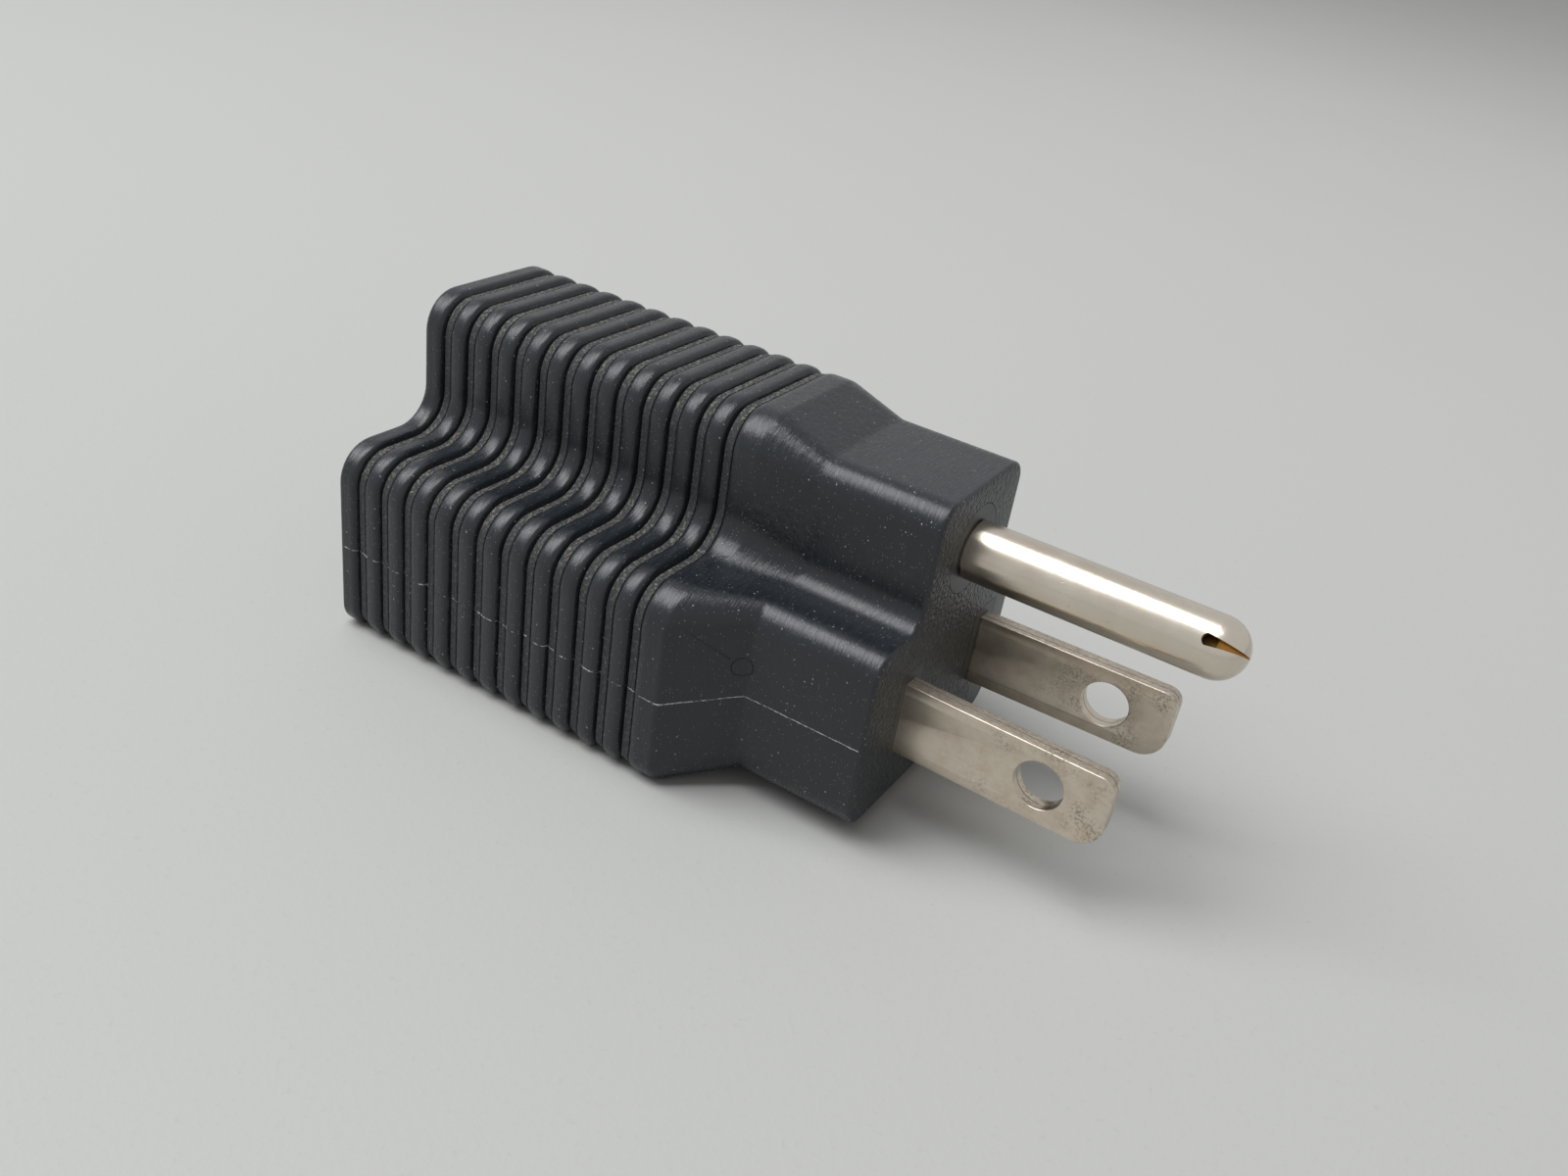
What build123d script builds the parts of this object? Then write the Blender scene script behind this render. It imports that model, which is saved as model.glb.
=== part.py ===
from build123d import *
import os
from math import cos, radians, sin

# A moulded plug adapter with a ribbed grip: three prongs at its +X end, a three-hole outlet at its -X
# end. Millimetres. The origin is under the middle of the overall length, on the flat underside, +Z up.

# Lengths along X, measured back from the plug face unless a name says otherwise
BODY_LENGTH = 48.8
PIN_REACH = 21.35
BLADE_REACH = 16.95
PLUG_LENGTH = 10.3
TAPER_LENGTH = 4.9
OUTLET_X = -(BODY_LENGTH + PIN_REACH) / 2
FACE_X = OUTLET_X + BODY_LENGTH
PLUG_X = FACE_X - PLUG_LENGTH
RIBBED_X = PLUG_X - TAPER_LENGTH

# The prongs and the hump over them stand off the middle of the lower body, which leaves room on the
# neutral side for the cross arm of the outlet's T-slot
PRONG_Y = 1.05
BLADE_Z = 8.9
BLADE_PITCH = 12.7
PIN_RISE = 11.9
PIN_Z = BLADE_Z + PIN_RISE
PIN_PLANE = Plane((0, PRONG_Y, PIN_Z))
PIN_AXIS = Axis((0, PRONG_Y, PIN_Z), (1, 0, 0))

# Cross-sections of the grip and of the plug end
GRIP_WIDTH = 33.0
GRIP_SHOULDER = 17.0
GRIP_TOP = 28.0
GRIP_HUMP = 15.7
PLUG_WIDTH = 24.14
PLUG_BOTTOM = 1.25
PLUG_SHOULDER = 16.6
PLUG_TOP = 26.3
PLUG_HUMP = 14.0
CORNER_R = 2.0

# Grip grooves: each crest ends in a step down on its plug side, and a ramp rises to the next crest
GROOVES = 12
RIB_PITCH = 2.583
GROOVE_DEPTH = 0.55
RAMP = 0.75
END_BAND = 2.05
EDGE_BREAK = 0.4

# Folded blades and the rolled ground pin
BLADE_WIDTH = 6.25
BLADE_THICK = 1.5
BLADE_SPLAY = radians(2.3)
BLADE_HOLE_X = 11.55
BLADE_HOLE_R = 1.97
TIP_TOP_R = 1.2
TIP_LOW_R = 2.2
TIP_COIN = 0.3
PIN_R = 2.375
PIN_WALL = 0.8
PIN_NECK_R = 2.1
PIN_NECK_PROUD = 0.15
SLIT_LENGTH = 2.95
SLIT_WIDTH = 0.9
SLIT_SEAM = 0.14
SLIT_TILT = radians(34)

# The insert that holds the prongs, with a boss flush with the plug face round each of them
INSERT_DEPTH = 11.0
BOSS_DEPTH = 1.8
INSERT_WIDTH = 18.6
INSERT_HEIGHT = 10.2
NECK_WIDTH = 9.2
NECK_TOP = 24.6
BOSS_R = 3.65
BOSS_WIDTH = 3.7
BOSS_HEIGHT = 7.85
BOSS_RISE = 0.22

# The outlet block, its back cover and its pockets
BLOCK_DEPTH = 20.8
COVER = 2.0
BLOCK_WIDTH = 27.0
BLOCK_BOTTOM = 3.0
BLOCK_SHOULDER = 14.2
BLOCK_TOP = 25.4
BLOCK_HUMP = 10.4
BLOCK_R = 1.6
FRONT_WALL = 2.0
SLOT_WIDTH = 2.1
SLOT_HEIGHT = 7.2
T_HEIGHT = 8.3
T_ARM = 6.3
MOUTH = 0.35
GROUND_HOLE_R = 2.7
GROUND_WALL = 3.0
POCKET_WIDTH = 4.6
POCKET_HEIGHT = 7.4
ARM_POCKET = 7.0
ARM_POCKET_HEIGHT = 5.2
GROUND_POCKET_R = 3.45

# Sprung contacts, straps and rivets
LEAF = 0.6
LEAF_HEIGHT = 6.2
LEAF_ROOT = 1.6
LEAF_PINCH = 0.9
LEAF_MOUTH = 1.7
PINCH_X = OUTLET_X + 8.5
MOUTH_X = OUTLET_X + 3.2
TAIL = 0.8
TAIL_HEIGHT = 5.0
STRAP = 0.8
PRONG_TAIL = 5.2
CONTACT_TAIL = 5.0
RIVET_SETBACK = 2.75
RIVET_SIDES = 8
RIVET_R = 0.95
RIVET_HEAD_R = 1.7
RIVET_HEAD = 0.6
PIN_TONGUE = 1.2
PIN_TONGUE_HEIGHT = 4.2
LIP_BACK = 5.0
SLEEVE_R = 2.95
SLEEVE_WALL = 0.7
SLEEVE_CUT = 1.0

BLOCK_BACK_X = OUTLET_X + BLOCK_DEPTH
INSERT_BACK_X = FACE_X - INSERT_DEPTH
FRONT_RIVET_X = INSERT_BACK_X - RIVET_SETBACK
REAR_RIVET_X = BLOCK_BACK_X + COVER + RIVET_SETBACK

os.makedirs("parts", exist_ok=True)


def write(piece, name):
    piece.label = name
    export_step(piece, f"parts/{name}.step")


def humped_section(width, bottom, shoulder, hump, top, corner_r):
    """A low block with a hump over the ground pin."""
    side = width / 2
    hump_low = PRONG_Y - hump / 2
    hump_high = PRONG_Y + hump / 2
    corners = [
        (-side, bottom),
        (side, bottom),
        (side, shoulder),
        (hump_high, shoulder),
        (hump_high, top),
        (hump_low, top),
        (hump_low, shoulder),
        (-side, shoulder),
    ]
    with BuildSketch() as section:
        with BuildLine():
            FilletPolyline(*corners, radius=corner_r, close=True)
        make_face()
    return section.sketch


def grip_section():
    return humped_section(GRIP_WIDTH, 0, GRIP_SHOULDER, GRIP_HUMP, GRIP_TOP, CORNER_R)


def plug_section():
    return humped_section(
        PLUG_WIDTH, PLUG_BOTTOM, PLUG_SHOULDER, PLUG_HUMP, PLUG_TOP, CORNER_R
    )


def block_section():
    return humped_section(
        BLOCK_WIDTH, BLOCK_BOTTOM, BLOCK_SHOULDER, BLOCK_HUMP, BLOCK_TOP, BLOCK_R
    )


def insert_section():
    with BuildSketch() as section:
        with Locations((PRONG_Y, BLADE_Z)):
            Rectangle(INSERT_WIDTH, INSERT_HEIGHT)
        with Locations((PRONG_Y, (BLADE_Z + NECK_TOP) / 2)):
            Rectangle(NECK_WIDTH, NECK_TOP - BLADE_Z)
    return section.sketch


def boss_section():
    with BuildSketch() as section:
        with Locations((PRONG_Y, PIN_Z)):
            Circle(BOSS_R)
        with Locations((PRONG_Y, BLADE_Z + BOSS_RISE)):
            with GridLocations(BLADE_PITCH, 0, 2, 1):
                Rectangle(BOSS_WIDTH, BOSS_HEIGHT)
    return section.sketch


def band(start_x, length, depth, run):
    """A length of the grip that rises at its low X end by a chamfer of the given depth and run."""
    with BuildPart() as ring:
        with BuildSketch(Plane.YZ.offset(start_x)):
            add(grip_section())
        extrude(amount=length)
        end = ring.faces().sort_by(Axis.X)[0]
        chamfer(end.edges(), length=depth, length2=run, reference=end)
    return ring.part


def rivet_section(radius):
    """The rivets are small, hidden and many, so they are eight-sided and not round."""
    with BuildSketch() as section:
        RegularPolygon(radius, RIVET_SIDES)
    return section.sketch


def folded_blade(side):
    """A blade of sheet folded along its lower edge. side is -1 for neutral and 1 for line."""
    root_y = PRONG_Y + side * BLADE_PITCH / 2
    along = Vector(cos(BLADE_SPLAY), side * sin(BLADE_SPLAY), 0)
    root = Vector(FACE_X, root_y, BLADE_Z)
    tip = root + along * BLADE_REACH
    tail_x = INSERT_BACK_X - PRONG_TAIL
    flank = Plane(origin=root, x_dir=along, z_dir=(along.Y, -along.X, 0))
    with BuildPart() as blade:
        with BuildSketch(Plane.XY.offset(BLADE_Z - BLADE_WIDTH / 2)):
            with BuildLine():
                Polyline((tail_x, root_y), (FACE_X, root_y), (tip.X, tip.Y))
            trace(line_width=BLADE_THICK)
        extrude(amount=BLADE_WIDTH)
        corners = blade.faces().sort_by(Axis.X)[-1].edges().filter_by(Axis.Z, reverse=True)
        fillet(corners.sort_by(Axis.Z)[0], radius=TIP_LOW_R)
        corners = blade.faces().sort_by(Axis.X)[-1].edges().filter_by(Axis.Z, reverse=True)
        fillet(corners.sort_by(Axis.Z)[-1], radius=TIP_TOP_R)
        rim = blade.edges().filter_by_position(Axis.X, tip.X - TIP_LOW_R, tip.X + BLADE_THICK)
        chamfer(rim.filter_by(lambda edge: edge.length > BLADE_THICK), length=TIP_COIN)
        with BuildSketch(flank):
            with Locations((BLADE_HOLE_X, 0)):
                Circle(BLADE_HOLE_R)
        extrude(amount=BLADE_THICK, both=True, mode=Mode.SUBTRACT)
        with BuildSketch(Plane.XZ.offset(-root_y)):
            with Locations((FRONT_RIVET_X, BLADE_Z)):
                add(rivet_section(RIVET_R))
            with Locations((INSERT_BACK_X - PRONG_TAIL / 2, BLADE_Z)):
                with GridLocations(0, BLADE_WIDTH + TAIL_HEIGHT, 1, 2):
                    Rectangle(PRONG_TAIL, BLADE_WIDTH)
        extrude(amount=BLADE_THICK, both=True, mode=Mode.SUBTRACT)
    return blade.part


def sprung_leaf(y, side):
    """Plan line of one contact leaf, from its root to its flared mouth."""
    return Polyline(
        (BLOCK_BACK_X - LEAF / 2, y + side * LEAF_ROOT),
        (PINCH_X, y + side * LEAF_PINCH),
        (MOUTH_X, y + side * LEAF_MOUTH),
    )


def rivet(x, y_low, y_high, z):
    """A rivet along Y, with its heads on the two faces that it holds together."""
    stages = [
        (y_low - RIVET_HEAD, RIVET_HEAD_R, RIVET_HEAD),
        (y_low, RIVET_R, y_high - y_low),
        (y_high, RIVET_HEAD_R, RIVET_HEAD),
    ]
    with BuildPart() as pin:
        for start_y, radius, length in stages:
            with BuildSketch(Plane.XZ.offset(-start_y)):
                with Locations((x, z)):
                    add(rivet_section(radius))
            extrude(amount=-length)
    return pin.part


def strap(y_low, z):
    """A flat strap on the faces of a prong's tail and of a contact's tail."""
    reach = FRONT_RIVET_X - REAR_RIVET_X
    with BuildPart() as link:
        with BuildSketch(Plane.XZ.offset(-y_low)):
            with Locations(((FRONT_RIVET_X + REAR_RIVET_X) / 2, z)):
                Rectangle(reach + 2 * RIVET_HEAD_R, TAIL_HEIGHT)
                with GridLocations(reach, 0, 2, 1):
                    add(rivet_section(RIVET_R), mode=Mode.SUBTRACT)
        extrude(amount=-STRAP)
    return link.part


def contact_tail(y_low, z):
    """The tail of a contact, which passes through the back cover to its rivet."""
    length = COVER + CONTACT_TAIL
    with BuildPart() as tail:
        with BuildSketch(Plane.XZ.offset(-y_low)):
            with Locations((BLOCK_BACK_X + length / 2, z)):
                Rectangle(length, TAIL_HEIGHT)
            with Locations((REAR_RIVET_X, z)):
                add(rivet_section(RIVET_R), mode=Mode.SUBTRACT)
        extrude(amount=-TAIL)
    return tail.part


def blade_contact(side):
    """Two leaves that pinch a blade, folded from one strip with the tail."""
    y = PRONG_Y + side * BLADE_PITCH / 2
    tail_face = y + side * BLADE_THICK / 2
    tail_low = min(tail_face, tail_face - side * TAIL)
    with BuildPart() as contact:
        with BuildSketch(Plane.XY.offset(BLADE_Z - LEAF_HEIGHT / 2)):
            with BuildLine():
                sprung_leaf(y, 1)
            trace(line_width=LEAF)
            with BuildLine():
                sprung_leaf(y, -1)
            trace(line_width=LEAF)
            with Locations((BLOCK_BACK_X - LEAF / 2, y)):
                Rectangle(LEAF, 2 * LEAF_ROOT + LEAF)
        extrude(amount=LEAF_HEIGHT)
        add(contact_tail(tail_low, BLADE_Z))
    return contact.part


def t_contact():
    """The neutral contact: its outer leaf is split, with lips that pinch a crosswise blade."""
    y = PRONG_Y - BLADE_PITCH / 2
    gap = 2 * (LEAF_PINCH - LEAF / 2)
    lip_y = y - LEAF_PINCH + LEAF / 2
    with BuildPart() as contact:
        add(blade_contact(-1))
        with BuildSketch(Plane.XZ.offset(-y)):
            with Locations(((MOUTH_X + PINCH_X + LIP_BACK) / 2 - LEAF, BLADE_Z)):
                Rectangle(PINCH_X - MOUTH_X + LIP_BACK + 2 * LEAF, gap)
        extrude(amount=POCKET_WIDTH / 2, mode=Mode.SUBTRACT)
        for side in (-1, 1):
            with BuildSketch(Plane.XZ.offset(-lip_y)):
                with BuildLine():
                    Polyline(
                        (PINCH_X + LIP_BACK, BLADE_Z + side * LEAF_ROOT),
                        (PINCH_X, BLADE_Z + side * LEAF_PINCH),
                        (MOUTH_X + LEAF, BLADE_Z + side * LEAF_MOUTH),
                    )
                trace(line_width=LEAF)
            extrude(amount=T_ARM - LEAF)
    return contact.part


with BuildPart() as neutral_blade:
    add(folded_blade(-1))
write(neutral_blade.part, "neutral_blade")

with BuildPart() as line_blade:
    add(folded_blade(1))
write(line_blade.part, "line_blade")

# The ground pin is rolled from sheet, necked where the insert grips it, and closed at its round tip,
# where the seam opens into a slit
with BuildPart() as ground_pin:
    tip_x = FACE_X + PIN_REACH
    dome_x = tip_x - PIN_R
    neck_x = FACE_X + PIN_NECK_PROUD
    hollow_x = INSERT_BACK_X + PIN_WALL
    inner_r = PIN_R - PIN_WALL
    with BuildSketch(PIN_PLANE):
        with BuildLine():
            Line((INSERT_BACK_X, 0), (INSERT_BACK_X, PIN_NECK_R))
            Line((INSERT_BACK_X, PIN_NECK_R), (neck_x, PIN_NECK_R))
            Line((neck_x, PIN_NECK_R), (neck_x, PIN_R))
            Line((neck_x, PIN_R), (dome_x, PIN_R))
            RadiusArc((dome_x, PIN_R), (tip_x, 0), PIN_R)
            Line((tip_x, 0), (dome_x, 0))
            Line((dome_x, 0), (dome_x, inner_r))
            Line((dome_x, inner_r), (hollow_x, inner_r))
            Line((hollow_x, inner_r), (hollow_x, 0))
            Line((hollow_x, 0), (INSERT_BACK_X, 0))
        make_face()
    revolve(axis=PIN_AXIS)
    slit_root = Vector(tip_x - SLIT_LENGTH, PRONG_Y, PIN_Z)
    with BuildSketch(Plane(slit_root, (1, 0, 0), (0, -cos(SLIT_TILT), sin(SLIT_TILT)))):
        with BuildLine():
            Line((0, -SLIT_WIDTH / 2), (SLIT_LENGTH, -SLIT_SEAM / 2))
            Line((SLIT_LENGTH, -SLIT_SEAM / 2), (SLIT_LENGTH, SLIT_SEAM / 2))
            Line((SLIT_LENGTH, SLIT_SEAM / 2), (0, SLIT_WIDTH / 2))
            SagittaArc((0, SLIT_WIDTH / 2), (0, -SLIT_WIDTH / 2), -SLIT_WIDTH / 3)
        make_face()
    extrude(amount=PIN_R, mode=Mode.SUBTRACT)
    with BuildSketch(Plane.XZ.offset(-PRONG_Y)):
        with Locations((INSERT_BACK_X - PRONG_TAIL / 2, PIN_Z)):
            Rectangle(PRONG_TAIL, PIN_TONGUE_HEIGHT)
        with Locations((FRONT_RIVET_X, PIN_Z)):
            add(rivet_section(RIVET_R), mode=Mode.SUBTRACT)
    extrude(amount=PIN_TONGUE / 2, both=True)
write(ground_pin.part, "ground_pin")

with BuildPart() as plug_insert:
    with BuildSketch(Plane.YZ.offset(INSERT_BACK_X)):
        add(insert_section())
    extrude(amount=INSERT_DEPTH - BOSS_DEPTH)
    with BuildSketch(Plane.YZ.offset(FACE_X - BOSS_DEPTH)):
        add(boss_section())
    extrude(amount=BOSS_DEPTH)
    with BuildSketch(Plane.YZ.offset(INSERT_BACK_X)):
        with Locations((PRONG_Y, PIN_Z)):
            Circle(PIN_NECK_R)
    extrude(amount=INSERT_DEPTH, mode=Mode.SUBTRACT)
    add(neutral_blade.part, mode=Mode.SUBTRACT)
    add(line_blade.part, mode=Mode.SUBTRACT)
write(plug_insert.part, "plug_insert")

# The outlet block has a T-slot for neutral, a plain slot for line and a round ground hole. Each opens
# into a pocket for its contact, and the pockets are closed by the back cover
with BuildPart() as outlet_block:
    neutral_y = PRONG_Y - BLADE_PITCH / 2
    line_y = PRONG_Y + BLADE_PITCH / 2
    with BuildSketch(Plane.YZ.offset(OUTLET_X)):
        add(block_section())
    extrude(amount=BLOCK_DEPTH)
    with BuildSketch(Plane.YZ.offset(OUTLET_X + FRONT_WALL)):
        with Locations((neutral_y, BLADE_Z), (line_y, BLADE_Z)):
            Rectangle(POCKET_WIDTH, POCKET_HEIGHT)
        with Locations((neutral_y - ARM_POCKET / 2, BLADE_Z)):
            Rectangle(ARM_POCKET, ARM_POCKET_HEIGHT)
    extrude(amount=BLOCK_DEPTH - FRONT_WALL, mode=Mode.SUBTRACT)
    with BuildSketch(Plane.YZ.offset(OUTLET_X + GROUND_WALL)):
        with Locations((PRONG_Y, PIN_Z)):
            Circle(GROUND_POCKET_R)
    extrude(amount=BLOCK_DEPTH - GROUND_WALL, mode=Mode.SUBTRACT)
    with BuildSketch(Plane.YZ.offset(OUTLET_X)):
        with Locations((line_y, BLADE_Z)):
            Rectangle(SLOT_WIDTH, SLOT_HEIGHT)
        with Locations((neutral_y, BLADE_Z)):
            Rectangle(SLOT_WIDTH, T_HEIGHT)
        with Locations((neutral_y - T_ARM / 2, BLADE_Z)):
            Rectangle(T_ARM, SLOT_WIDTH)
        with Locations((PRONG_Y, PIN_Z)):
            Circle(GROUND_HOLE_R)
    extrude(amount=GROUND_WALL, mode=Mode.SUBTRACT)
    front = outlet_block.faces().sort_by(Axis.X)[0]
    chamfer(front.inner_wires().edges(), length=MOUTH)
write(outlet_block.part, "outlet_block")

neutral_contact = t_contact()
write(neutral_contact, "neutral_contact")
line_contact = blade_contact(1)
write(line_contact, "line_contact")

# The ground contact is a sleeve with two lengthwise cuts, so that its halves spring onto the pin
with BuildPart() as ground_contact:
    with BuildSketch(PIN_PLANE):
        with BuildLine():
            Polyline(
                (BLOCK_BACK_X, 0),
                (BLOCK_BACK_X, SLEEVE_R),
                (MOUTH_X + LEAF, SLEEVE_R),
                (MOUTH_X + LEAF, SLEEVE_R - SLEEVE_WALL),
                (BLOCK_BACK_X - LEAF, SLEEVE_R - SLEEVE_WALL),
                (BLOCK_BACK_X - LEAF, 0),
                close=True,
            )
        make_face()
    revolve(axis=PIN_AXIS)
    with BuildSketch(Plane.XZ.offset(-PRONG_Y)):
        with Locations((MOUTH_X, PIN_Z)):
            Rectangle(2 * (PINCH_X - MOUTH_X + LIP_BACK), SLEEVE_CUT)
    extrude(amount=GROUND_POCKET_R, both=True, mode=Mode.SUBTRACT)
    add(contact_tail(PRONG_Y + PIN_TONGUE / 2 - TAIL, PIN_Z))
write(ground_contact.part, "ground_contact")

with BuildPart() as back_cover:
    with BuildSketch(Plane.YZ.offset(BLOCK_BACK_X)):
        add(block_section())
    extrude(amount=COVER)
    add(neutral_contact, mode=Mode.SUBTRACT)
    add(line_contact, mode=Mode.SUBTRACT)
    add(ground_contact.part, mode=Mode.SUBTRACT)
write(back_cover.part, "back_cover")

# Each circuit has a strap riveted to the tails of its prong and of its contact, on their outer side
carriers = []
circuits = [
    ("neutral", neutral_y, -1, BLADE_THICK, BLADE_Z),
    ("line", line_y, 1, BLADE_THICK, BLADE_Z),
    ("ground", PRONG_Y, 1, PIN_TONGUE, PIN_Z),
]
for name, y, side, prong_thick, z in circuits:
    joint = y + side * prong_thick / 2
    outer = joint + side * STRAP
    link = strap(min(joint, outer), z)
    write(link, f"{name}_strap")
    carriers.append(link)
    for place, x, thick in (("front", FRONT_RIVET_X, prong_thick), ("rear", REAR_RIVET_X, TAIL)):
        inner = joint - side * thick
        stud = rivet(x, min(inner, outer), max(inner, outer), z)
        write(stud, f"{name}_{place}_rivet")
        carriers.append(stud)

# The soft jacket is moulded last, round all of the inner pieces: the grip's bands, the taper, and the
# plug end with its three windows for the bosses
first_groove_x = OUTLET_X + END_BAND
last_groove_x = first_groove_x + (GROOVES - 1) * RIB_PITCH
rib = band(first_groove_x, RIB_PITCH, GROOVE_DEPTH, RAMP)
with BuildPart() as jacket:
    add(band(OUTLET_X, END_BAND, EDGE_BREAK, EDGE_BREAK))
    for index in range(GROOVES - 1):
        with Locations((index * RIB_PITCH, 0, 0)):
            add(rib)
    add(band(last_groove_x, RIBBED_X - last_groove_x, GROOVE_DEPTH, RAMP))
    with BuildSketch(Plane.YZ.offset(RIBBED_X)):
        add(grip_section())
    with BuildSketch(Plane.YZ.offset(PLUG_X)):
        add(plug_section())
    loft(ruled=True)
    with BuildSketch(Plane.YZ.offset(PLUG_X)):
        add(plug_section())
    extrude(amount=PLUG_LENGTH)
    with BuildSketch(Plane.YZ.offset(OUTLET_X)):
        add(block_section())
    extrude(amount=BLOCK_DEPTH + COVER, mode=Mode.SUBTRACT)
    with BuildSketch(Plane.YZ.offset(INSERT_BACK_X)):
        add(insert_section())
    extrude(amount=INSERT_DEPTH - BOSS_DEPTH, mode=Mode.SUBTRACT)
    with BuildSketch(Plane.YZ.offset(FACE_X - BOSS_DEPTH)):
        add(boss_section())
    extrude(amount=BOSS_DEPTH, mode=Mode.SUBTRACT)
    for prong in (neutral_blade, line_blade, ground_pin):
        add(prong.part, mode=Mode.SUBTRACT)
    for contact in (neutral_contact, line_contact, ground_contact.part, *carriers):
        add(contact, mode=Mode.SUBTRACT)
write(jacket.part, "jacket")
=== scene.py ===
# %% [markdown]
# # A moulded plug adapter
# The adapter is one soft PVC jacket moulded round everything else: a harder insert that holds two flat
# blades and a round ground pin, and an outlet block at the other end. Its sizes and inner pieces come
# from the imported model. This lesson dresses that model: the jacket's ribbed skin, the fine flash left
# by its mould, the plated prongs, and then the table, the light and the camera.

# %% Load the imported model
from math import cos, pi, radians, sin, tan

import bmesh
import bpy
from mathutils import Matrix, Vector


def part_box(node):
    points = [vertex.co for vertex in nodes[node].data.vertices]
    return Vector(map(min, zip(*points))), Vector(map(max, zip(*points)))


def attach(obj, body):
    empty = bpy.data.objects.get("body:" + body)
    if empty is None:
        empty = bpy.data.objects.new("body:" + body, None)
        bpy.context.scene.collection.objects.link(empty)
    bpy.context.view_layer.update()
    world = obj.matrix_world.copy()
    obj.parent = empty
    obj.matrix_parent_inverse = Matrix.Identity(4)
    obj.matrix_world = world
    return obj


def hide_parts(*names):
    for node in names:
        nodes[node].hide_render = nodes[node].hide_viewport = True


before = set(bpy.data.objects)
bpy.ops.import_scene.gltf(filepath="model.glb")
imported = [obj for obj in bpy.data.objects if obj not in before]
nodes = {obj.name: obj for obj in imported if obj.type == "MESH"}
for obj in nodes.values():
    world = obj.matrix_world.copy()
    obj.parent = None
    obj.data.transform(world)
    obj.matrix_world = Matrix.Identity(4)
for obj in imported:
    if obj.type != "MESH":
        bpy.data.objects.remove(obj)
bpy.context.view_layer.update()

print("CAD nodes:", ", ".join(sorted(nodes)))

# %% [markdown]
# ## Sizes
# Blender works in metres, and the adapter was measured in millimetres, so every size below is written
# in millimetres and turned by one factor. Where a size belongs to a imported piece, it is read from that
# piece's box instead of being repeated.

# %% Main sizes and places
MM = 0.001


def corner_mm(node, end):
    """The lowest (0) or highest (1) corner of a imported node, in millimetres."""
    return Vector(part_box(node)[end]) / MM


def middle_mm(node):
    return (corner_mm(node, 0) + corner_mm(node, 1)) / 2


OUTLET_X = corner_mm("jacket", 0).x
FACE_X = corner_mm("jacket", 1).x
BODY_LENGTH = FACE_X - OUTLET_X
PIN_Y, PIN_Z = middle_mm("ground_pin").yz
BLADE_Z = middle_mm("line_blade").z
BLADE_PITCH = 12.7
PLUG_LENGTH = 10.3
TAPER_LENGTH = 4.9
GROOVES = 12
RIB_PITCH = 2.583
END_BAND = 2.05
GROOVE_DEPTH = 0.72
FIRST_GROOVE_X = OUTLET_X + END_BAND
TAPER_END_X = FACE_X - PLUG_LENGTH
TAPER_START_X = TAPER_END_X - TAPER_LENGTH
print(f"body {BODY_LENGTH:.2f} mm long, pin axis at y {PIN_Y:.2f}, z {PIN_Z:.2f}")

# %% [markdown]
# ## Helpers for node trees
# Shaders and Geometry Nodes are both trees of nodes, so one small function serves for both: it adds a
# node, sets it, and links or fills its sockets. An input that is given a node takes that node's first
# output in use, so a formula can be written as one node inside another. Colours are written as the sRGB
# hex values that a paint program shows, and one function turns them to the linear values that Blender's
# sockets hold.

# %% Node and colour helpers


def fill(tree, node, inputs):
    """Gives a node its inputs, keyed by name or number: values, nodes or outputs of nodes."""
    in_use = [socket for socket in node.inputs if socket.enabled]
    for key, value in inputs.items():
        own = node.inputs[key] if isinstance(key, int) else next(s for s in in_use if s.name == key)
        if isinstance(value, bpy.types.Node):
            value = next(output for output in value.outputs if output.enabled)
        if isinstance(value, bpy.types.NodeSocket):
            tree.links.new(value, own)
        else:
            own.default_value = value


def add_node(tree, kind, settings=None, inputs=None):
    """Adds a node with its settings and its inputs."""
    made = tree.nodes.new(kind)
    for name, value in (settings or {}).items():
        setattr(made, name, value)
    fill(tree, made, inputs or {})
    return made


def colour(text):
    """A hex colour as linear RGBA."""
    channels = [int(text[i : i + 2], 16) / 255 for i in (1, 3, 5)]
    linear = [c / 12.92 if c <= 0.04045 else ((c + 0.055) / 1.055) ** 2.4 for c in channels]
    return (*linear, 1.0)


# %% [markdown]
# A Math node takes two numbers. Products and sums here often have more, so two helpers chain them.

# %% Products and sums in trees


def product(tree, *factors):
    """All the factors multiplied together."""
    total = factors[0]
    for factor in factors[1:]:
        total = add_node(tree, "ShaderNodeMath", {"operation": "MULTIPLY"}, {0: total, 1: factor})
    return total


def total_of(tree, *terms):
    """All the terms added up."""
    total = terms[0]
    for term in terms[1:]:
        total = add_node(tree, "ShaderNodeMath", {"operation": "ADD"}, {0: total, 1: term})
    return total


# %% [markdown]
# ## The jacket's outline
# The body's section is a low block with a hump over the ground pin. It is larger at the grip than at
# the plug, with rounder corners. Both outlines come from one function that rounds the corners of a
# polygon, so they have the same number of points in the same order, and the skin can pass from one to
# the other in the taper. The function also gives each point's outward direction, which the ribs need.

# %% Rounded outlines
ARC_STEPS = 9
SUPPORT = 0.3
GRIP_WIDTH = 32.8
PLUG_WIDTH = 24.14


def humped_corners(width, bottom, shoulder, hump, top):
    side = width / 2
    return [
        (-side, bottom),
        (side, bottom),
        (side, shoulder),
        (PIN_Y + hump / 2, shoulder),
        (PIN_Y + hump / 2, top),
        (PIN_Y - hump / 2, top),
        (PIN_Y - hump / 2, shoulder),
        (-side, shoulder),
    ]


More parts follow.
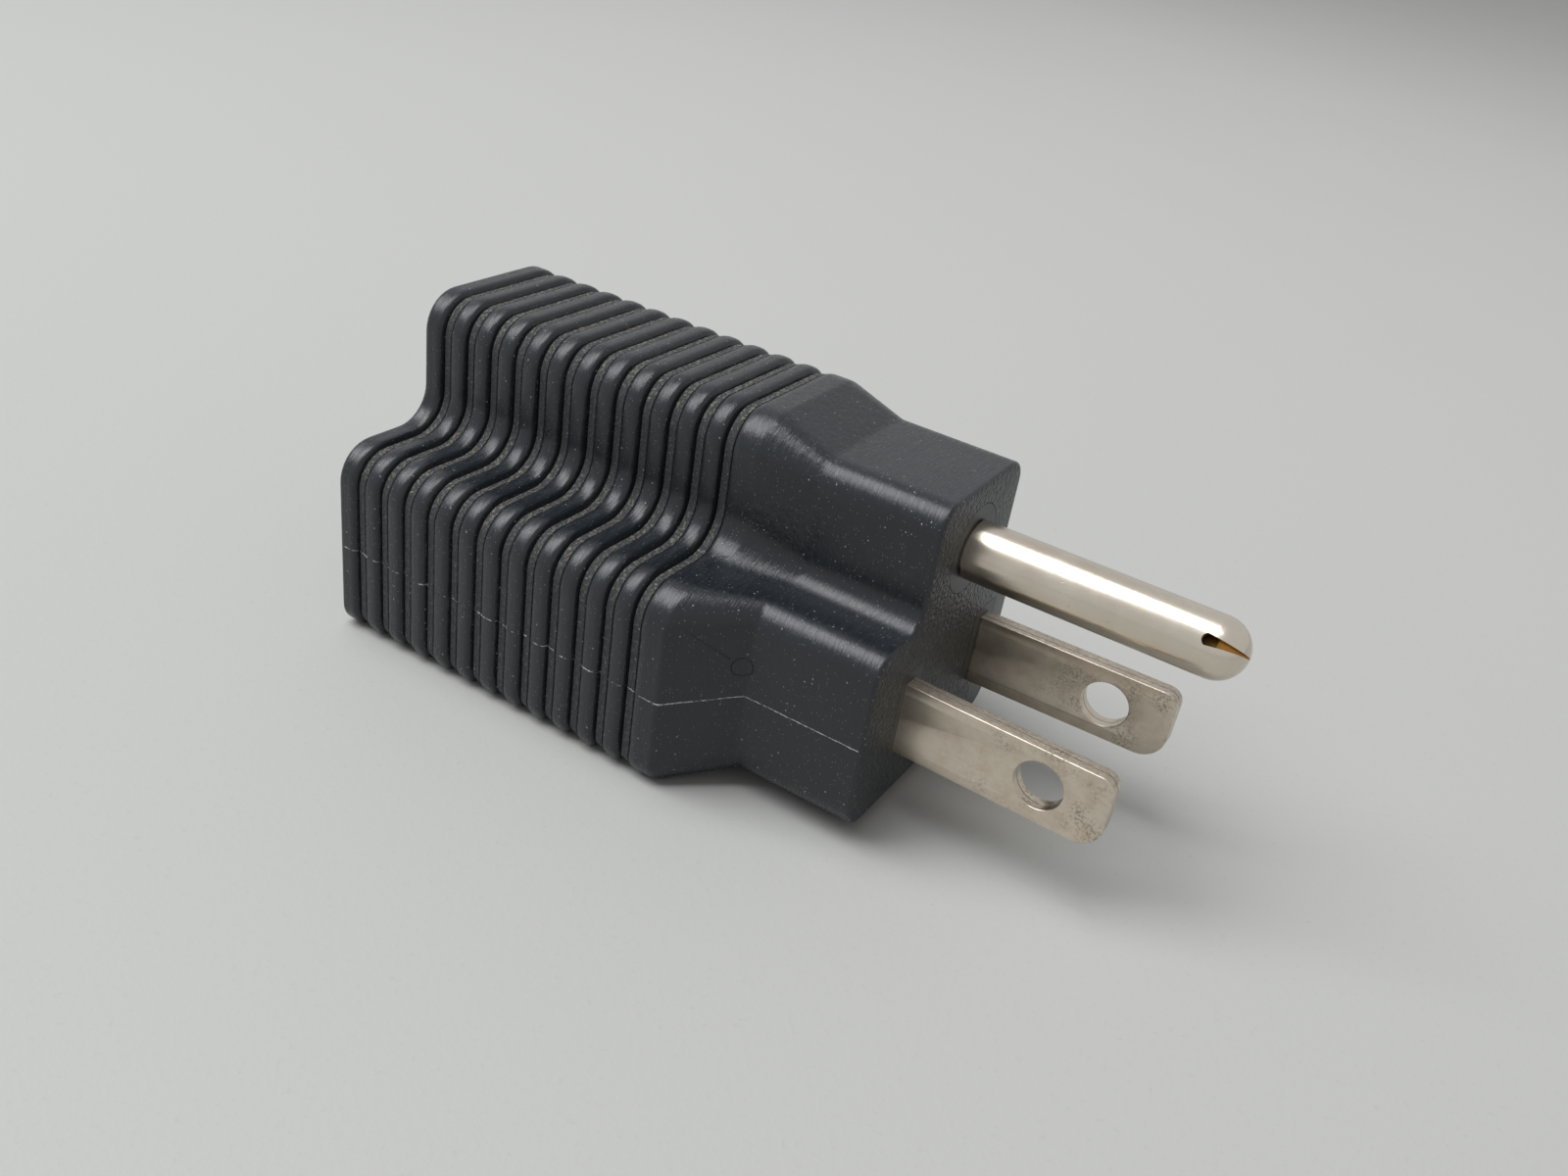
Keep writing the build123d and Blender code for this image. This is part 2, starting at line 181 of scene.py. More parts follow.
def rounded(corners, radii, steps=ARC_STEPS):
    """Points and outward directions of a closed outline that runs anticlockwise."""
    found = []
    for i, corner in enumerate(corners):
        here = Vector(corner)
        back = (Vector(corners[i - 1]) - here).normalized()
        on = (Vector(corners[(i + 1) % len(corners)]) - here).normalized()
        outward_in = Vector((-back.y, back.x))
        outward_out = Vector((on.y, -on.x))
        turn = 1 if back.x * on.y - back.y * on.x < 0 else -1
        reach = radii[i]
        centre = here + (back + on) * reach
        found.append((here + back * (reach + SUPPORT), outward_in))
        for step in range(steps + 1):
            angle = step / steps * pi / 2
            outward = outward_in * cos(angle) + outward_out * sin(angle)
            found.append((centre + outward * reach * turn, outward))
        found.append((here + on * (reach + SUPPORT), outward_out))
    return found


BASE_R, SHOULDER_R, VALLEY_R, HUMP_R = 2.0, 3.3, 3.0, 3.3
grip_outline = rounded(
    humped_corners(GRIP_WIDTH, 0.0, 17.0, 15.7, 28.0),
    [BASE_R, BASE_R, SHOULDER_R, VALLEY_R, HUMP_R, HUMP_R, VALLEY_R, SHOULDER_R],
)
PLUG_BASE_R, PLUG_SHOULDER_R, PLUG_VALLEY_R, PLUG_HUMP_R = 2.3, 2.1, 1.9, 2.1
plug_outline = rounded(
    humped_corners(PLUG_WIDTH, 1.25, 16.6, 14.0, 26.3),
    [PLUG_BASE_R, PLUG_BASE_R, PLUG_SHOULDER_R, PLUG_VALLEY_R, PLUG_HUMP_R, PLUG_HUMP_R,
     PLUG_VALLEY_R, PLUG_SHOULDER_R],
)
print(len(grip_outline), "points in each outline")

# %% [markdown]
# The jacket is open at both ends: the outlet block shows through a window in one, and three bosses of
# the insert show through the other. Each window is a hair larger than the piece in it, which leaves
# the fine dark line that is seen round a moulded-in boss.

# %% Windows in the two end faces
SEAM_GAP = 0.05
WINDOW_R = 1.6 + SEAM_GAP
WINDOW_WIDTH = 27.0 + 2 * SEAM_GAP
WINDOW_HUMP = 10.4 + 2 * SEAM_GAP
WINDOW_SHOULDER = 14.2 + SEAM_GAP
BOSS_R = 3.65
BOSS_WIDTH = 3.7
BOSS_HEIGHT = 7.85
BOSS_RISE = 0.22
BOSS_CORNER = 0.25


def circle(y, z, radius, count=64):
    spokes = [Vector((cos(2 * pi * i / count), sin(2 * pi * i / count))) for i in range(count)]
    return [(Vector((y, z)) + spoke * radius, spoke) for spoke in spokes]


def rectangle(y, z, width, height):
    w, h = width / 2, height / 2
    corners = [(y - w, z - h), (y + w, z - h), (y + w, z + h), (y - w, z + h)]
    return rounded(corners, [BOSS_CORNER] * 4, steps=4)


window_low = corner_mm("outlet_block", 0).z - SEAM_GAP
window_top = corner_mm("outlet_block", 1).z + SEAM_GAP
outlet_window = rounded(
    humped_corners(WINDOW_WIDTH, window_low, WINDOW_SHOULDER, WINDOW_HUMP, window_top), [WINDOW_R] * 8
)
boss_windows = [circle(PIN_Y, PIN_Z, BOSS_R + SEAM_GAP)]
for side in (-1, 1):
    boss_y = PIN_Y + side * BLADE_PITCH / 2
    boss_windows.append(
        rectangle(boss_y, BLADE_Z + BOSS_RISE, BOSS_WIDTH + 2 * SEAM_GAP, BOSS_HEIGHT + 2 * SEAM_GAP)
    )
print(1 + len(boss_windows), "windows")

# %% [markdown]
# ## The jacket's skin
# The skin follows a rule: at each station along the body, the outline is drawn in by a depth that the
# grooves and the rounded ends set. That suits Geometry Nodes. The object's own mesh is just the flat
# outlines, each point carrying where it goes at the plug end and which way is out. The tree sweeps
# them along the body and moves every point by the rule.

# %% The outlines as a small mesh with attributes
JACKET, OUTLET, BOSSES = 0, 1, 2


def outline_mesh():
    mesh = bpy.data.meshes.new("jacket_outlines")
    loops = [(JACKET, grip_outline, plug_outline), (OUTLET, outlet_window, outlet_window)]
    loops += [(BOSSES, window, window) for window in boss_windows]
    edges, kinds = [], []
    values = {"grip_point": [], "grip_out": [], "plug_point": [], "plug_out": []}
    for kind, near, far in loops:
        first = len(kinds)
        count = len(near)
        kinds += [kind] * count
        edges += [(first + i, first + (i + 1) % count) for i in range(count)]
        for end, ring in (("grip", near), ("plug", far)):
            values[f"{end}_point"] += [(point.x * MM, point.y * MM, 0.0) for point, _ in ring]
            values[f"{end}_out"] += [(outward.x, outward.y, 0.0) for _, outward in ring]
    mesh.from_pydata(values["grip_point"], edges, [])
    mesh.attributes.new("kind", "INT", "POINT").data.foreach_set("value", kinds)
    for name, vectors in values.items():
        flat = [number for vector in vectors for number in vector]
        mesh.attributes.new(name, "FLOAT_VECTOR", "POINT").data.foreach_set("vector", flat)
    return mesh


# %% [markdown]
# The rib's shape is a Float Curve: how deep the surface lies at each point between one groove and the
# next. From the bottom of the groove it climbs a rough ramp to a thin crease, swells into a smooth
# crest, and falls steeply into the next groove.

# %% The rib profile, as (distance from the groove, depth) in millimetres
RAMP = 0.9
rib_profile = [
    (0.0, GROOVE_DEPTH),
    (0.07, 0.44),
    (0.13, 0.35),
    (0.50, 0.29),
    (RAMP - 0.06, 0.21),
    (RAMP, 0.29),
    (RAMP + 0.08, 0.17),
    (1.10, 0.085),
    (1.35, 0.025),
    (1.70, 0.0),
    (2.02, 0.012),
    (2.22, 0.07),
    (2.36, 0.19),
    (2.46, 0.40),
    (RIB_PITCH, GROOVE_DEPTH),
]


def shape_rib_curve(mapping):
    """Puts the rib profile into a Float Curve's mapping."""
    curve = mapping.curves[0]
    for distance, depth in rib_profile[1:-1]:
        curve.points.new(distance / RIB_PITCH, depth / GROOVE_DEPTH)
    curve.points[0].location = (0.0, 1.0)
    curve.points[-1].location = (1.0, 1.0)
    mapping.update()


# %% [markdown]
# A tree's sizes are named inputs, so they can be changed on the modifier. One helper makes the group
# and its sockets, and another sets a modifier's inputs by each socket's identifier.

# %% Helpers for geometry trees
WELD = 0.001 * MM


def geometry_tree(name, sizes):
    """A Geometry Nodes group with named number inputs. Returns the tree, its inputs and its output."""
    tree = bpy.data.node_groups.new(name, "GeometryNodeTree")
    tree.interface.new_socket("Geometry", in_out="INPUT", socket_type="NodeSocketGeometry")
    tree.interface.new_socket("Geometry", in_out="OUTPUT", socket_type="NodeSocketGeometry")
    for size in sizes:
        kind = "NodeSocketInt" if isinstance(sizes[size], int) else "NodeSocketFloat"
        tree.interface.new_socket(size, in_out="INPUT", socket_type=kind)
    tree.interface.new_socket("Material", in_out="INPUT", socket_type="NodeSocketMaterial")
    return tree, tree.nodes.new("NodeGroupInput").outputs, tree.nodes.new("NodeGroupOutput").inputs


def link_object(name, data):
    made = bpy.data.objects.new(name, data)
    bpy.context.scene.collection.objects.link(made)
    return made


def as_mesh(holder, name):
    """The evaluated shape of an object, as a plain mesh object that takes its place."""
    depsgraph = bpy.context.evaluated_depsgraph_get()
    mesh = bpy.data.meshes.new_from_object(holder.evaluated_get(depsgraph), depsgraph=depsgraph)
    bpy.data.objects.remove(holder)
    mesh.name = name
    return link_object(name, mesh)


def run_tree(holder, tree, sizes, material, name):
    """Runs the tree on an object and returns the result as a plain mesh object."""
    modifier = holder.modifiers.new(tree.name, "NODES")
    modifier.node_group = tree
    sockets = {s.name: s.identifier for s in tree.interface.items_tree if s.in_out == "INPUT"}
    for size, value in sizes.items():
        modifier[sockets[size]] = value
    modifier[sockets["Material"]] = material
    return as_mesh(holder, name)


def close_up(piece):
    """Welds what meets and turns every face of a closed mesh outwards."""
    work = bmesh.new()
    work.from_mesh(piece.data)
    bmesh.ops.remove_doubles(work, verts=work.verts, dist=WELD)
    bmesh.ops.recalc_face_normals(work, faces=work.faces)
    loose = sum(1 for edge in work.edges if len(edge.link_faces) != 2)
    work.to_mesh(piece.data)
    work.free()
    print(f"{piece.name}: {len(piece.data.polygons)} faces, {loose} open edges")


def declare(piece, node):
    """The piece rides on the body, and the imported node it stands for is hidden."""
    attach(piece, "root")
    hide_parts(node)


# %% [markdown]
# The helpers below hold the rule itself. They are used again for the mould flash, which has to follow
# the same surface.

# %% How far the surface is drawn in
SKIN_SIZES = {
    "Start": OUTLET_X * MM,
    "Length": BODY_LENGTH * MM,
    "Station Gap": 0.062 * MM,
    "First Groove": FIRST_GROOVE_X * MM,
    "Grooves": GROOVES,
    "Pitch": RIB_PITCH * MM,
    "Groove Depth": GROOVE_DEPTH * MM,
    "Taper Start": TAPER_START_X * MM,
    "Taper End": TAPER_END_X * MM,
    "Outlet Edge": 0.55 * MM,
    "Plug Edge": 0.3 * MM,
    "Outlet Depth": 22.85 * MM,
    "Boss Depth": 1.7 * MM,
}
CREST_STEPS = 0.43
TAPER_EASE = 0.08


def groove_depth(tree, sizes, x):
    """How far the surface lies under the crests at x."""
    steps = add_node(tree, "ShaderNodeMath", {"operation": "DIVIDE"}, {
        0: add_node(tree, "ShaderNodeMath", {"operation": "SUBTRACT"}, {0: x, 1: sizes["First Groove"]}),
        1: sizes["Pitch"],
    })
    curve = add_node(tree, "ShaderNodeFloatCurve", None, {
        "Value": add_node(tree, "ShaderNodeMath", {"operation": "FRACT"}, {0: steps}),
    })
    shape_rib_curve(curve.mapping)
    after = add_node(tree, "ShaderNodeMath", {"operation": "GREATER_THAN"}, {0: steps, 1: -CREST_STEPS})
    last = add_node(tree, "ShaderNodeMath", {"operation": "SUBTRACT"}, {
        0: sizes["Grooves"],
        1: CREST_STEPS,
    })
    before = add_node(tree, "ShaderNodeMath", {"operation": "LESS_THAN"}, {0: steps, 1: last})
    return product(tree, curve.outputs[0], after, before, sizes["Groove Depth"])


# %% [markdown]
# The outline passes from the grip to the plug by a share that runs from 0 to 1 along the taper. Both ends
# of it are eased, since the real surface turns softly there.

# %% The taper and the rounded ends


def taper_share(tree, sizes, x):
    """0 at the grip and 1 at the plug, with both ends of the taper eased."""
    length = add_node(tree, "ShaderNodeMath", {"operation": "SUBTRACT"}, {
        0: sizes["Taper End"],
        1: sizes["Taper Start"],
    })
    share = add_node(tree, "ShaderNodeMath", {"operation": "DIVIDE"}, {
        0: add_node(tree, "ShaderNodeMath", {"operation": "SUBTRACT"}, {0: x, 1: sizes["Taper Start"]}),
        1: length,
    })
    share = add_node(tree, "ShaderNodeMath", {"operation": "SMOOTH_MIN"}, {0: share, 1: 1.0, 2: TAPER_EASE})
    return add_node(tree, "ShaderNodeMath", {"operation": "SMOOTH_MAX"}, {0: share, 1: 0.0, 2: TAPER_EASE})


def edge_inset(tree, distance, radius):
    """The inset of a rounded edge at a distance from the end face."""
    beyond = add_node(tree, "ShaderNodeMapRange", None, {
        "Value": distance,
        "From Min": radius,
        "From Max": 0.0,
    })
    height = add_node(tree, "ShaderNodeMath", {"operation": "SQRT"}, {
        0: add_node(tree, "ShaderNodeMath", {"operation": "SUBTRACT"}, {
            0: 1.0,
            1: add_node(tree, "ShaderNodeMath", {"operation": "POWER"}, {0: beyond, 1: 2.0}),
        }),
    })
    return product(
        tree,
        add_node(tree, "ShaderNodeMath", {"operation": "SUBTRACT"}, {0: 1.0, 1: height}),
        radius,
    )


def surface_inset(tree, sizes, x):
    """The whole inset at x: the grooves, and the rounded edges of the two ends."""
    end = add_node(tree, "ShaderNodeMath", {"operation": "ADD"}, {0: sizes["Start"], 1: sizes["Length"]})
    outlet = edge_inset(
        tree,
        add_node(tree, "ShaderNodeMath", {"operation": "SUBTRACT"}, {0: x, 1: sizes["Start"]}),
        sizes["Outlet Edge"],
    )
    plug = edge_inset(
        tree,
        add_node(tree, "ShaderNodeMath", {"operation": "SUBTRACT"}, {0: end, 1: x}),
        sizes["Plug Edge"],
    )
    return total_of(tree, groove_depth(tree, sizes, x), outlet, plug)


# %% [markdown]
# The tree itself sweeps the outlines, puts each point in place, and closes the shell: each end gets a
# cap with its windows cut out, and each window gets walls and a floor that lies behind the piece in it.

# %% The skin's tree


def into_place(tree, geometry, x, flat):
    """Moves points that were drawn flat, as (y, z, 0), to x along the body."""
    split = add_node(tree, "ShaderNodeSeparateXYZ", None, {0: flat})
    place = add_node(tree, "ShaderNodeCombineXYZ", None, {0: x, 1: split.outputs[0], 2: split.outputs[1]})
    return add_node(tree, "GeometryNodeSetPosition", None, {
        "Geometry": geometry,
        "Position": place,
    })


def drawn_in(tree, point, outward, inset):
    shift = add_node(tree, "ShaderNodeVectorMath", {"operation": "SCALE"}, {0: outward, "Scale": inset})
    less = {0: point, 1: shift}
    return add_node(tree, "ShaderNodeVectorMath", {"operation": "SUBTRACT"}, less)


def is_kind(tree, number):
    return add_node(tree, "ShaderNodeMath", {"operation": "COMPARE"}, {
        0: add_node(tree, "GeometryNodeInputNamedAttribute", {"data_type": "INT"}, {"Name": "kind"}),
        1: float(number),
        2: 0.1,
    })


def only(tree, geometry, kinds):
    """The outlines of the given kinds, as curves."""
    chosen = total_of(tree, *[is_kind(tree, number) for number in kinds])
    inputs = {"Geometry": geometry, "Selection": chosen}
    part = add_node(tree, "GeometryNodeSeparateGeometry", {"domain": "POINT"}, inputs)
    return add_node(tree, "GeometryNodeMeshToCurve", None, {0: part})


def stations(tree, start, end, gap):
    """A line of points along X, each with its own x kept as the attribute station."""
    low = add_node(tree, "ShaderNodeCombineXYZ", None, {0: start})
    high = add_node(tree, "ShaderNodeCombineXYZ", None, {0: end})
    line = add_node(tree, "GeometryNodeCurvePrimitiveLine", None, {"Start": low, "End": high})
    steps = add_node(tree, "ShaderNodeMath", {"operation": "DIVIDE"}, {
        0: add_node(tree, "ShaderNodeMath", {"operation": "SUBTRACT"}, {0: end, 1: start}),
        1: gap,
    })
    count = add_node(tree, "ShaderNodeMath", {"operation": "ADD"}, {
        0: add_node(tree, "ShaderNodeMath", {"operation": "ROUND"}, {0: steps}),
        1: 1.0,
    })
    points = add_node(tree, "GeometryNodeResampleCurve", None, {"Curve": line, "Count": count})
    x = add_node(tree, "ShaderNodeSeparateXYZ", None, {0: add_node(tree, "GeometryNodeInputPosition")})
    inputs = {"Geometry": points, "Name": "station", "Value": x}
    return add_node(tree, "GeometryNodeStoreNamedAttribute", {"data_type": "FLOAT"}, inputs)


def swept(tree, profile, start, end, gap):
    inputs = {"Curve": stations(tree, start, end, gap), "Profile Curve": profile}
    return add_node(tree, "GeometryNodeCurveToMesh", None, inputs)


def finished(tree, pieces, material, result):
    """Joins and welds the pieces, gives them their material and ends the tree."""
    joined = add_node(tree, "GeometryNodeJoinGeometry")
    for piece in pieces:
        fill(tree, joined, {0: piece})
    welded = add_node(tree, "GeometryNodeMergeByDistance", None, {"Geometry": joined, "Distance": WELD})
    real = add_node(tree, "GeometryNodeRealizeInstances", None, {0: welded})
    inputs = {"Geometry": real, "Material": material}
    tree.links.new(add_node(tree, "GeometryNodeSetMaterial", None, inputs).outputs[0], result[0])


# %% [markdown]
# The sides are swept first. Then each end gets its face, and each window its floor and its walls.

# %% The skin, built by its helpers


def skin_tree():
    tree, sizes, result = geometry_tree("jacket_skin", SKIN_SIZES)
    outlines = sizes["Geometry"]
    start = sizes["Start"]
    end = add_node(tree, "ShaderNodeMath", {"operation": "ADD"}, {0: start, 1: sizes["Length"]})
    x = add_node(tree, "GeometryNodeInputNamedAttribute", {"data_type": "FLOAT"}, {"Name": "station"})
    taper = taper_share(tree, sizes, x)
    point = add_node(tree, "ShaderNodeMix", {"data_type": "VECTOR"}, {
        "Factor": taper,
        "A": add_node(tree, "GeometryNodeInputNamedAttribute", {"data_type": "FLOAT_VECTOR"}, {
            "Name": "grip_point",
        }),
        "B": add_node(tree, "GeometryNodeInputNamedAttribute", {"data_type": "FLOAT_VECTOR"}, {
            "Name": "plug_point",
        }),
    })
    outward = add_node(tree, "ShaderNodeMix", {"data_type": "VECTOR"}, {
        "Factor": taper,
        "A": add_node(tree, "GeometryNodeInputNamedAttribute", {"data_type": "FLOAT_VECTOR"}, {
            "Name": "grip_out",
        }),
        "B": add_node(tree, "GeometryNodeInputNamedAttribute", {"data_type": "FLOAT_VECTOR"}, {
            "Name": "plug_out",
        }),
    })
    place = drawn_in(tree, point, outward, surface_inset(tree, sizes, x))
    sides = swept(tree, only(tree, outlines, [JACKET]), start, end, sizes["Station Gap"])
    pieces = [into_place(tree, sides, x, place)]
    for face_x, inward, edge, depth, kind, name in (
        (start, 1.0, sizes["Outlet Edge"], sizes["Outlet Depth"], OUTLET, "grip"),
        (end, -1.0, sizes["Plug Edge"], sizes["Boss Depth"], BOSSES, "plug"),
    ):
        own = add_node(tree, "GeometryNodeInputNamedAttribute", {"data_type": "FLOAT_VECTOR"}, {
            "Name": f"{name}_point",
        })
        inset = product(tree, is_kind(tree, JACKET), edge)
        rim = only(tree, outlines, [JACKET, kind])
        rim = add_node(tree, "GeometryNodeSetPosition", None, {
            "Geometry": rim,
            "Position": drawn_in(
                tree,
                own,
                add_node(tree, "GeometryNodeInputNamedAttribute", {"data_type": "FLOAT_VECTOR"}, {
                    "Name": f"{name}_out",
                }),
                inset,
            ),
        })
        pieces.append(
            into_place(
                tree,
                add_node(tree, "GeometryNodeFillCurve", None, {"Curve": rim}),
                face_x,
                add_node(tree, "GeometryNodeInputPosition"),
            ),
        )
        floor_x = add_node(tree, "ShaderNodeMath", {"operation": "MULTIPLY_ADD"}, {
            0: depth,
            1: inward,
            2: face_x,
        })
        window = only(tree, outlines, [kind])
        pieces.append(
            into_place(
                tree,
                add_node(tree, "GeometryNodeFillCurve", None, {"Curve": window}),
                floor_x,
                add_node(tree, "GeometryNodeInputPosition"),
            ),
        )
        low, high = (face_x, floor_x) if inward > 0 else (floor_x, face_x)
        pieces.append(into_place(tree, swept(tree, window, low, high, depth), x, own))
    finished(tree, pieces, sizes["Material"], result)
    return tree


# %% [markdown]
# ## Materials
# Each surface reads the object's own coordinates, in metres, so a pattern size is given in real
# millimetres. The helpers start a material, turn a size to a texture's scale, scatter specks of a known
# size, and lay colours over each other.

# %% Helpers for materials


def new_material(name, base, roughness, metallic=0.0):
    """Returns the material, its tree, its shader and the object coordinates."""
    made = bpy.data.materials.new(name)
    made.use_nodes = True
    tree = made.node_tree
    shader = tree.nodes["Principled BSDF"]
    fill(tree, shader, {"Base Color": colour(base), "Roughness": roughness, "Metallic": metallic})
    coords = add_node(tree, "ShaderNodeTexCoord").outputs["Object"]
    return made, tree, shader, coords


def per_mm(size):
    """The scale of a procedural texture whose features are size millimetres apart."""
    return 1 / (size * MM)


def layered(tree, base, layers):
    """Lays colours over a base, one after another. Each layer is its share and its colour."""
    for share, text in layers:
        mixed = {"Factor": share, "A": base, "B": colour(text)}
        base = add_node(tree, "ShaderNodeMix", {"data_type": "RGBA"}, mixed)
    return base


def specks(tree, coords, spacing, share, radius):
    """Scattered round specks: 1 inside, 0 outside. share is the part of the cells that hold one."""
    cells = add_node(tree, "ShaderNodeTexVoronoi", None, {"Vector": coords, "Scale": per_mm(spacing)})
    pick = add_node(tree, "ShaderNodeSeparateColor", None, {0: cells.outputs["Color"]})
    chosen = add_node(tree, "ShaderNodeMath", {"operation": "GREATER_THAN"}, {0: pick, 1: 1 - share})
    inside = add_node(tree, "ShaderNodeMapRange", None, {
        "Value": cells.outputs["Distance"],
        "From Min": 1.3 * radius / spacing,
        "From Max": 0.7 * radius / spacing,
    })
    return product(tree, chosen, inside)


# %% [markdown]
# The jacket is a flexible PVC, moulded nearly black. Its surface isn't even: the ramps in the grooves
# are rough and dusty, the crests are smooth with fine flow streaks across them, the plug face has a
# leathery grain, and pale dust has settled everywhere.

# %% Moulded soft PVC
# The real grit on the ramps is finer, and is drawn this coarse so that it shows in the render.
RAMP_GRIT = 0.25
RAMP_GRAIN_DEPTH = 0.11
FACE_GRAIN_DEPTH = 0.26
PEEL_DEPTH = 0.02
MARK_CENTRE = (3.06, 11.5)
MARK_R = 0.78
LINE_START, LINE_END = (-0.28, 14.5), (2.33, 12.2)
MARK_WIDTH = 0.09
SMOOTH_STRIP_Y = 8.9


def groove_ramp(tree, x):
    """1 on the rough ramps of the grooves, 0 elsewhere."""
    steps = add_node(tree, "ShaderNodeMath", {"operation": "MULTIPLY_ADD"}, {
        0: x,
        1: 1 / (RIB_PITCH * MM),
        2: -FIRST_GROOVE_X / RIB_PITCH,
    })
    after = add_node(tree, "ShaderNodeMath", {"operation": "GREATER_THAN"}, {0: steps, 1: 0.0})
    before = add_node(tree, "ShaderNodeMath", {"operation": "LESS_THAN"}, {0: steps, 1: float(GROOVES)})
    width = RAMP / RIB_PITCH
    inside = add_node(tree, "ShaderNodeMapRange", None, {
        "Value": add_node(tree, "ShaderNodeMath", {"operation": "FRACT"}, {0: steps}),
        "From Min": width * 1.05,
        "From Max": width * 0.95,
    })
    return product(tree, after, before, inside)


# %% [markdown]
# The mould left a fine ring and a line on the near side of the taper. Both are drawn by distance: the
# ring from its centre, and the line from the nearest point of a short run.

# %% The mould's ring and line


def on_taper(x, z):
    """The point of the taper's near side at x and z, in metres."""
    drop = (x - TAPER_START_X) / TAPER_LENGTH * (GRIP_WIDTH - PLUG_WIDTH) / 2
    return Vector((x, drop - GRIP_WIDTH / 2, z)) * MM


def mould_mark(tree, coords):
    """1 on the fine ring and line that the mould left on the near side of the taper."""
    from_centre = add_node(tree, "ShaderNodeVectorMath", {"operation": "DISTANCE"}, {
        0: coords,
        1: on_taper(*MARK_CENTRE),
    })
    off_ring = add_node(tree, "ShaderNodeMath", {"operation": "ABSOLUTE"}, {
        0: add_node(tree, "ShaderNodeMath", {"operation": "SUBTRACT"}, {0: from_centre, 1: MARK_R * MM}),
    })
    start = on_taper(*LINE_START)
    run = on_taper(*LINE_END) - start
    from_start = add_node(tree, "ShaderNodeVectorMath", {"operation": "SUBTRACT"}, {0: coords, 1: start})
    along = add_node(tree, "ShaderNodeVectorMath", {"operation": "DOT_PRODUCT"}, {
        0: from_start,
        1: run.normalized(),
    })
    along = add_node(tree, "ShaderNodeMath", {"operation": "MINIMUM"}, {
        0: add_node(tree, "ShaderNodeMath", {"operation": "MAXIMUM"}, {0: along, 1: 0.0}),
        1: run.length,
    })
    nearest = add_node(tree, "ShaderNodeVectorMath", {"operation": "SCALE"}, {
        0: run.normalized(),
        "Scale": along,
    })
    off_line = add_node(tree, "ShaderNodeVectorMath", {"operation": "DISTANCE"}, {
        0: from_start,
        1: nearest,
    })
    off = add_node(tree, "ShaderNodeMath", {"operation": "MINIMUM"}, {0: off_ring, 1: off_line})
    return add_node(tree, "ShaderNodeMapRange", None, {
        "Value": off,
        "From Min": MARK_WIDTH * MM,
        "From Max": 0.4 * MARK_WIDTH * MM,
    })


# %% [markdown]
# The finish comes in layers. The masks say where each look belongs: on the ramps, on the plug face, on
# what faces up. The colour, the roughness and the bump then share them, so that grit is pale, dull and
# raised in the same places.

# %% The jacket's finish


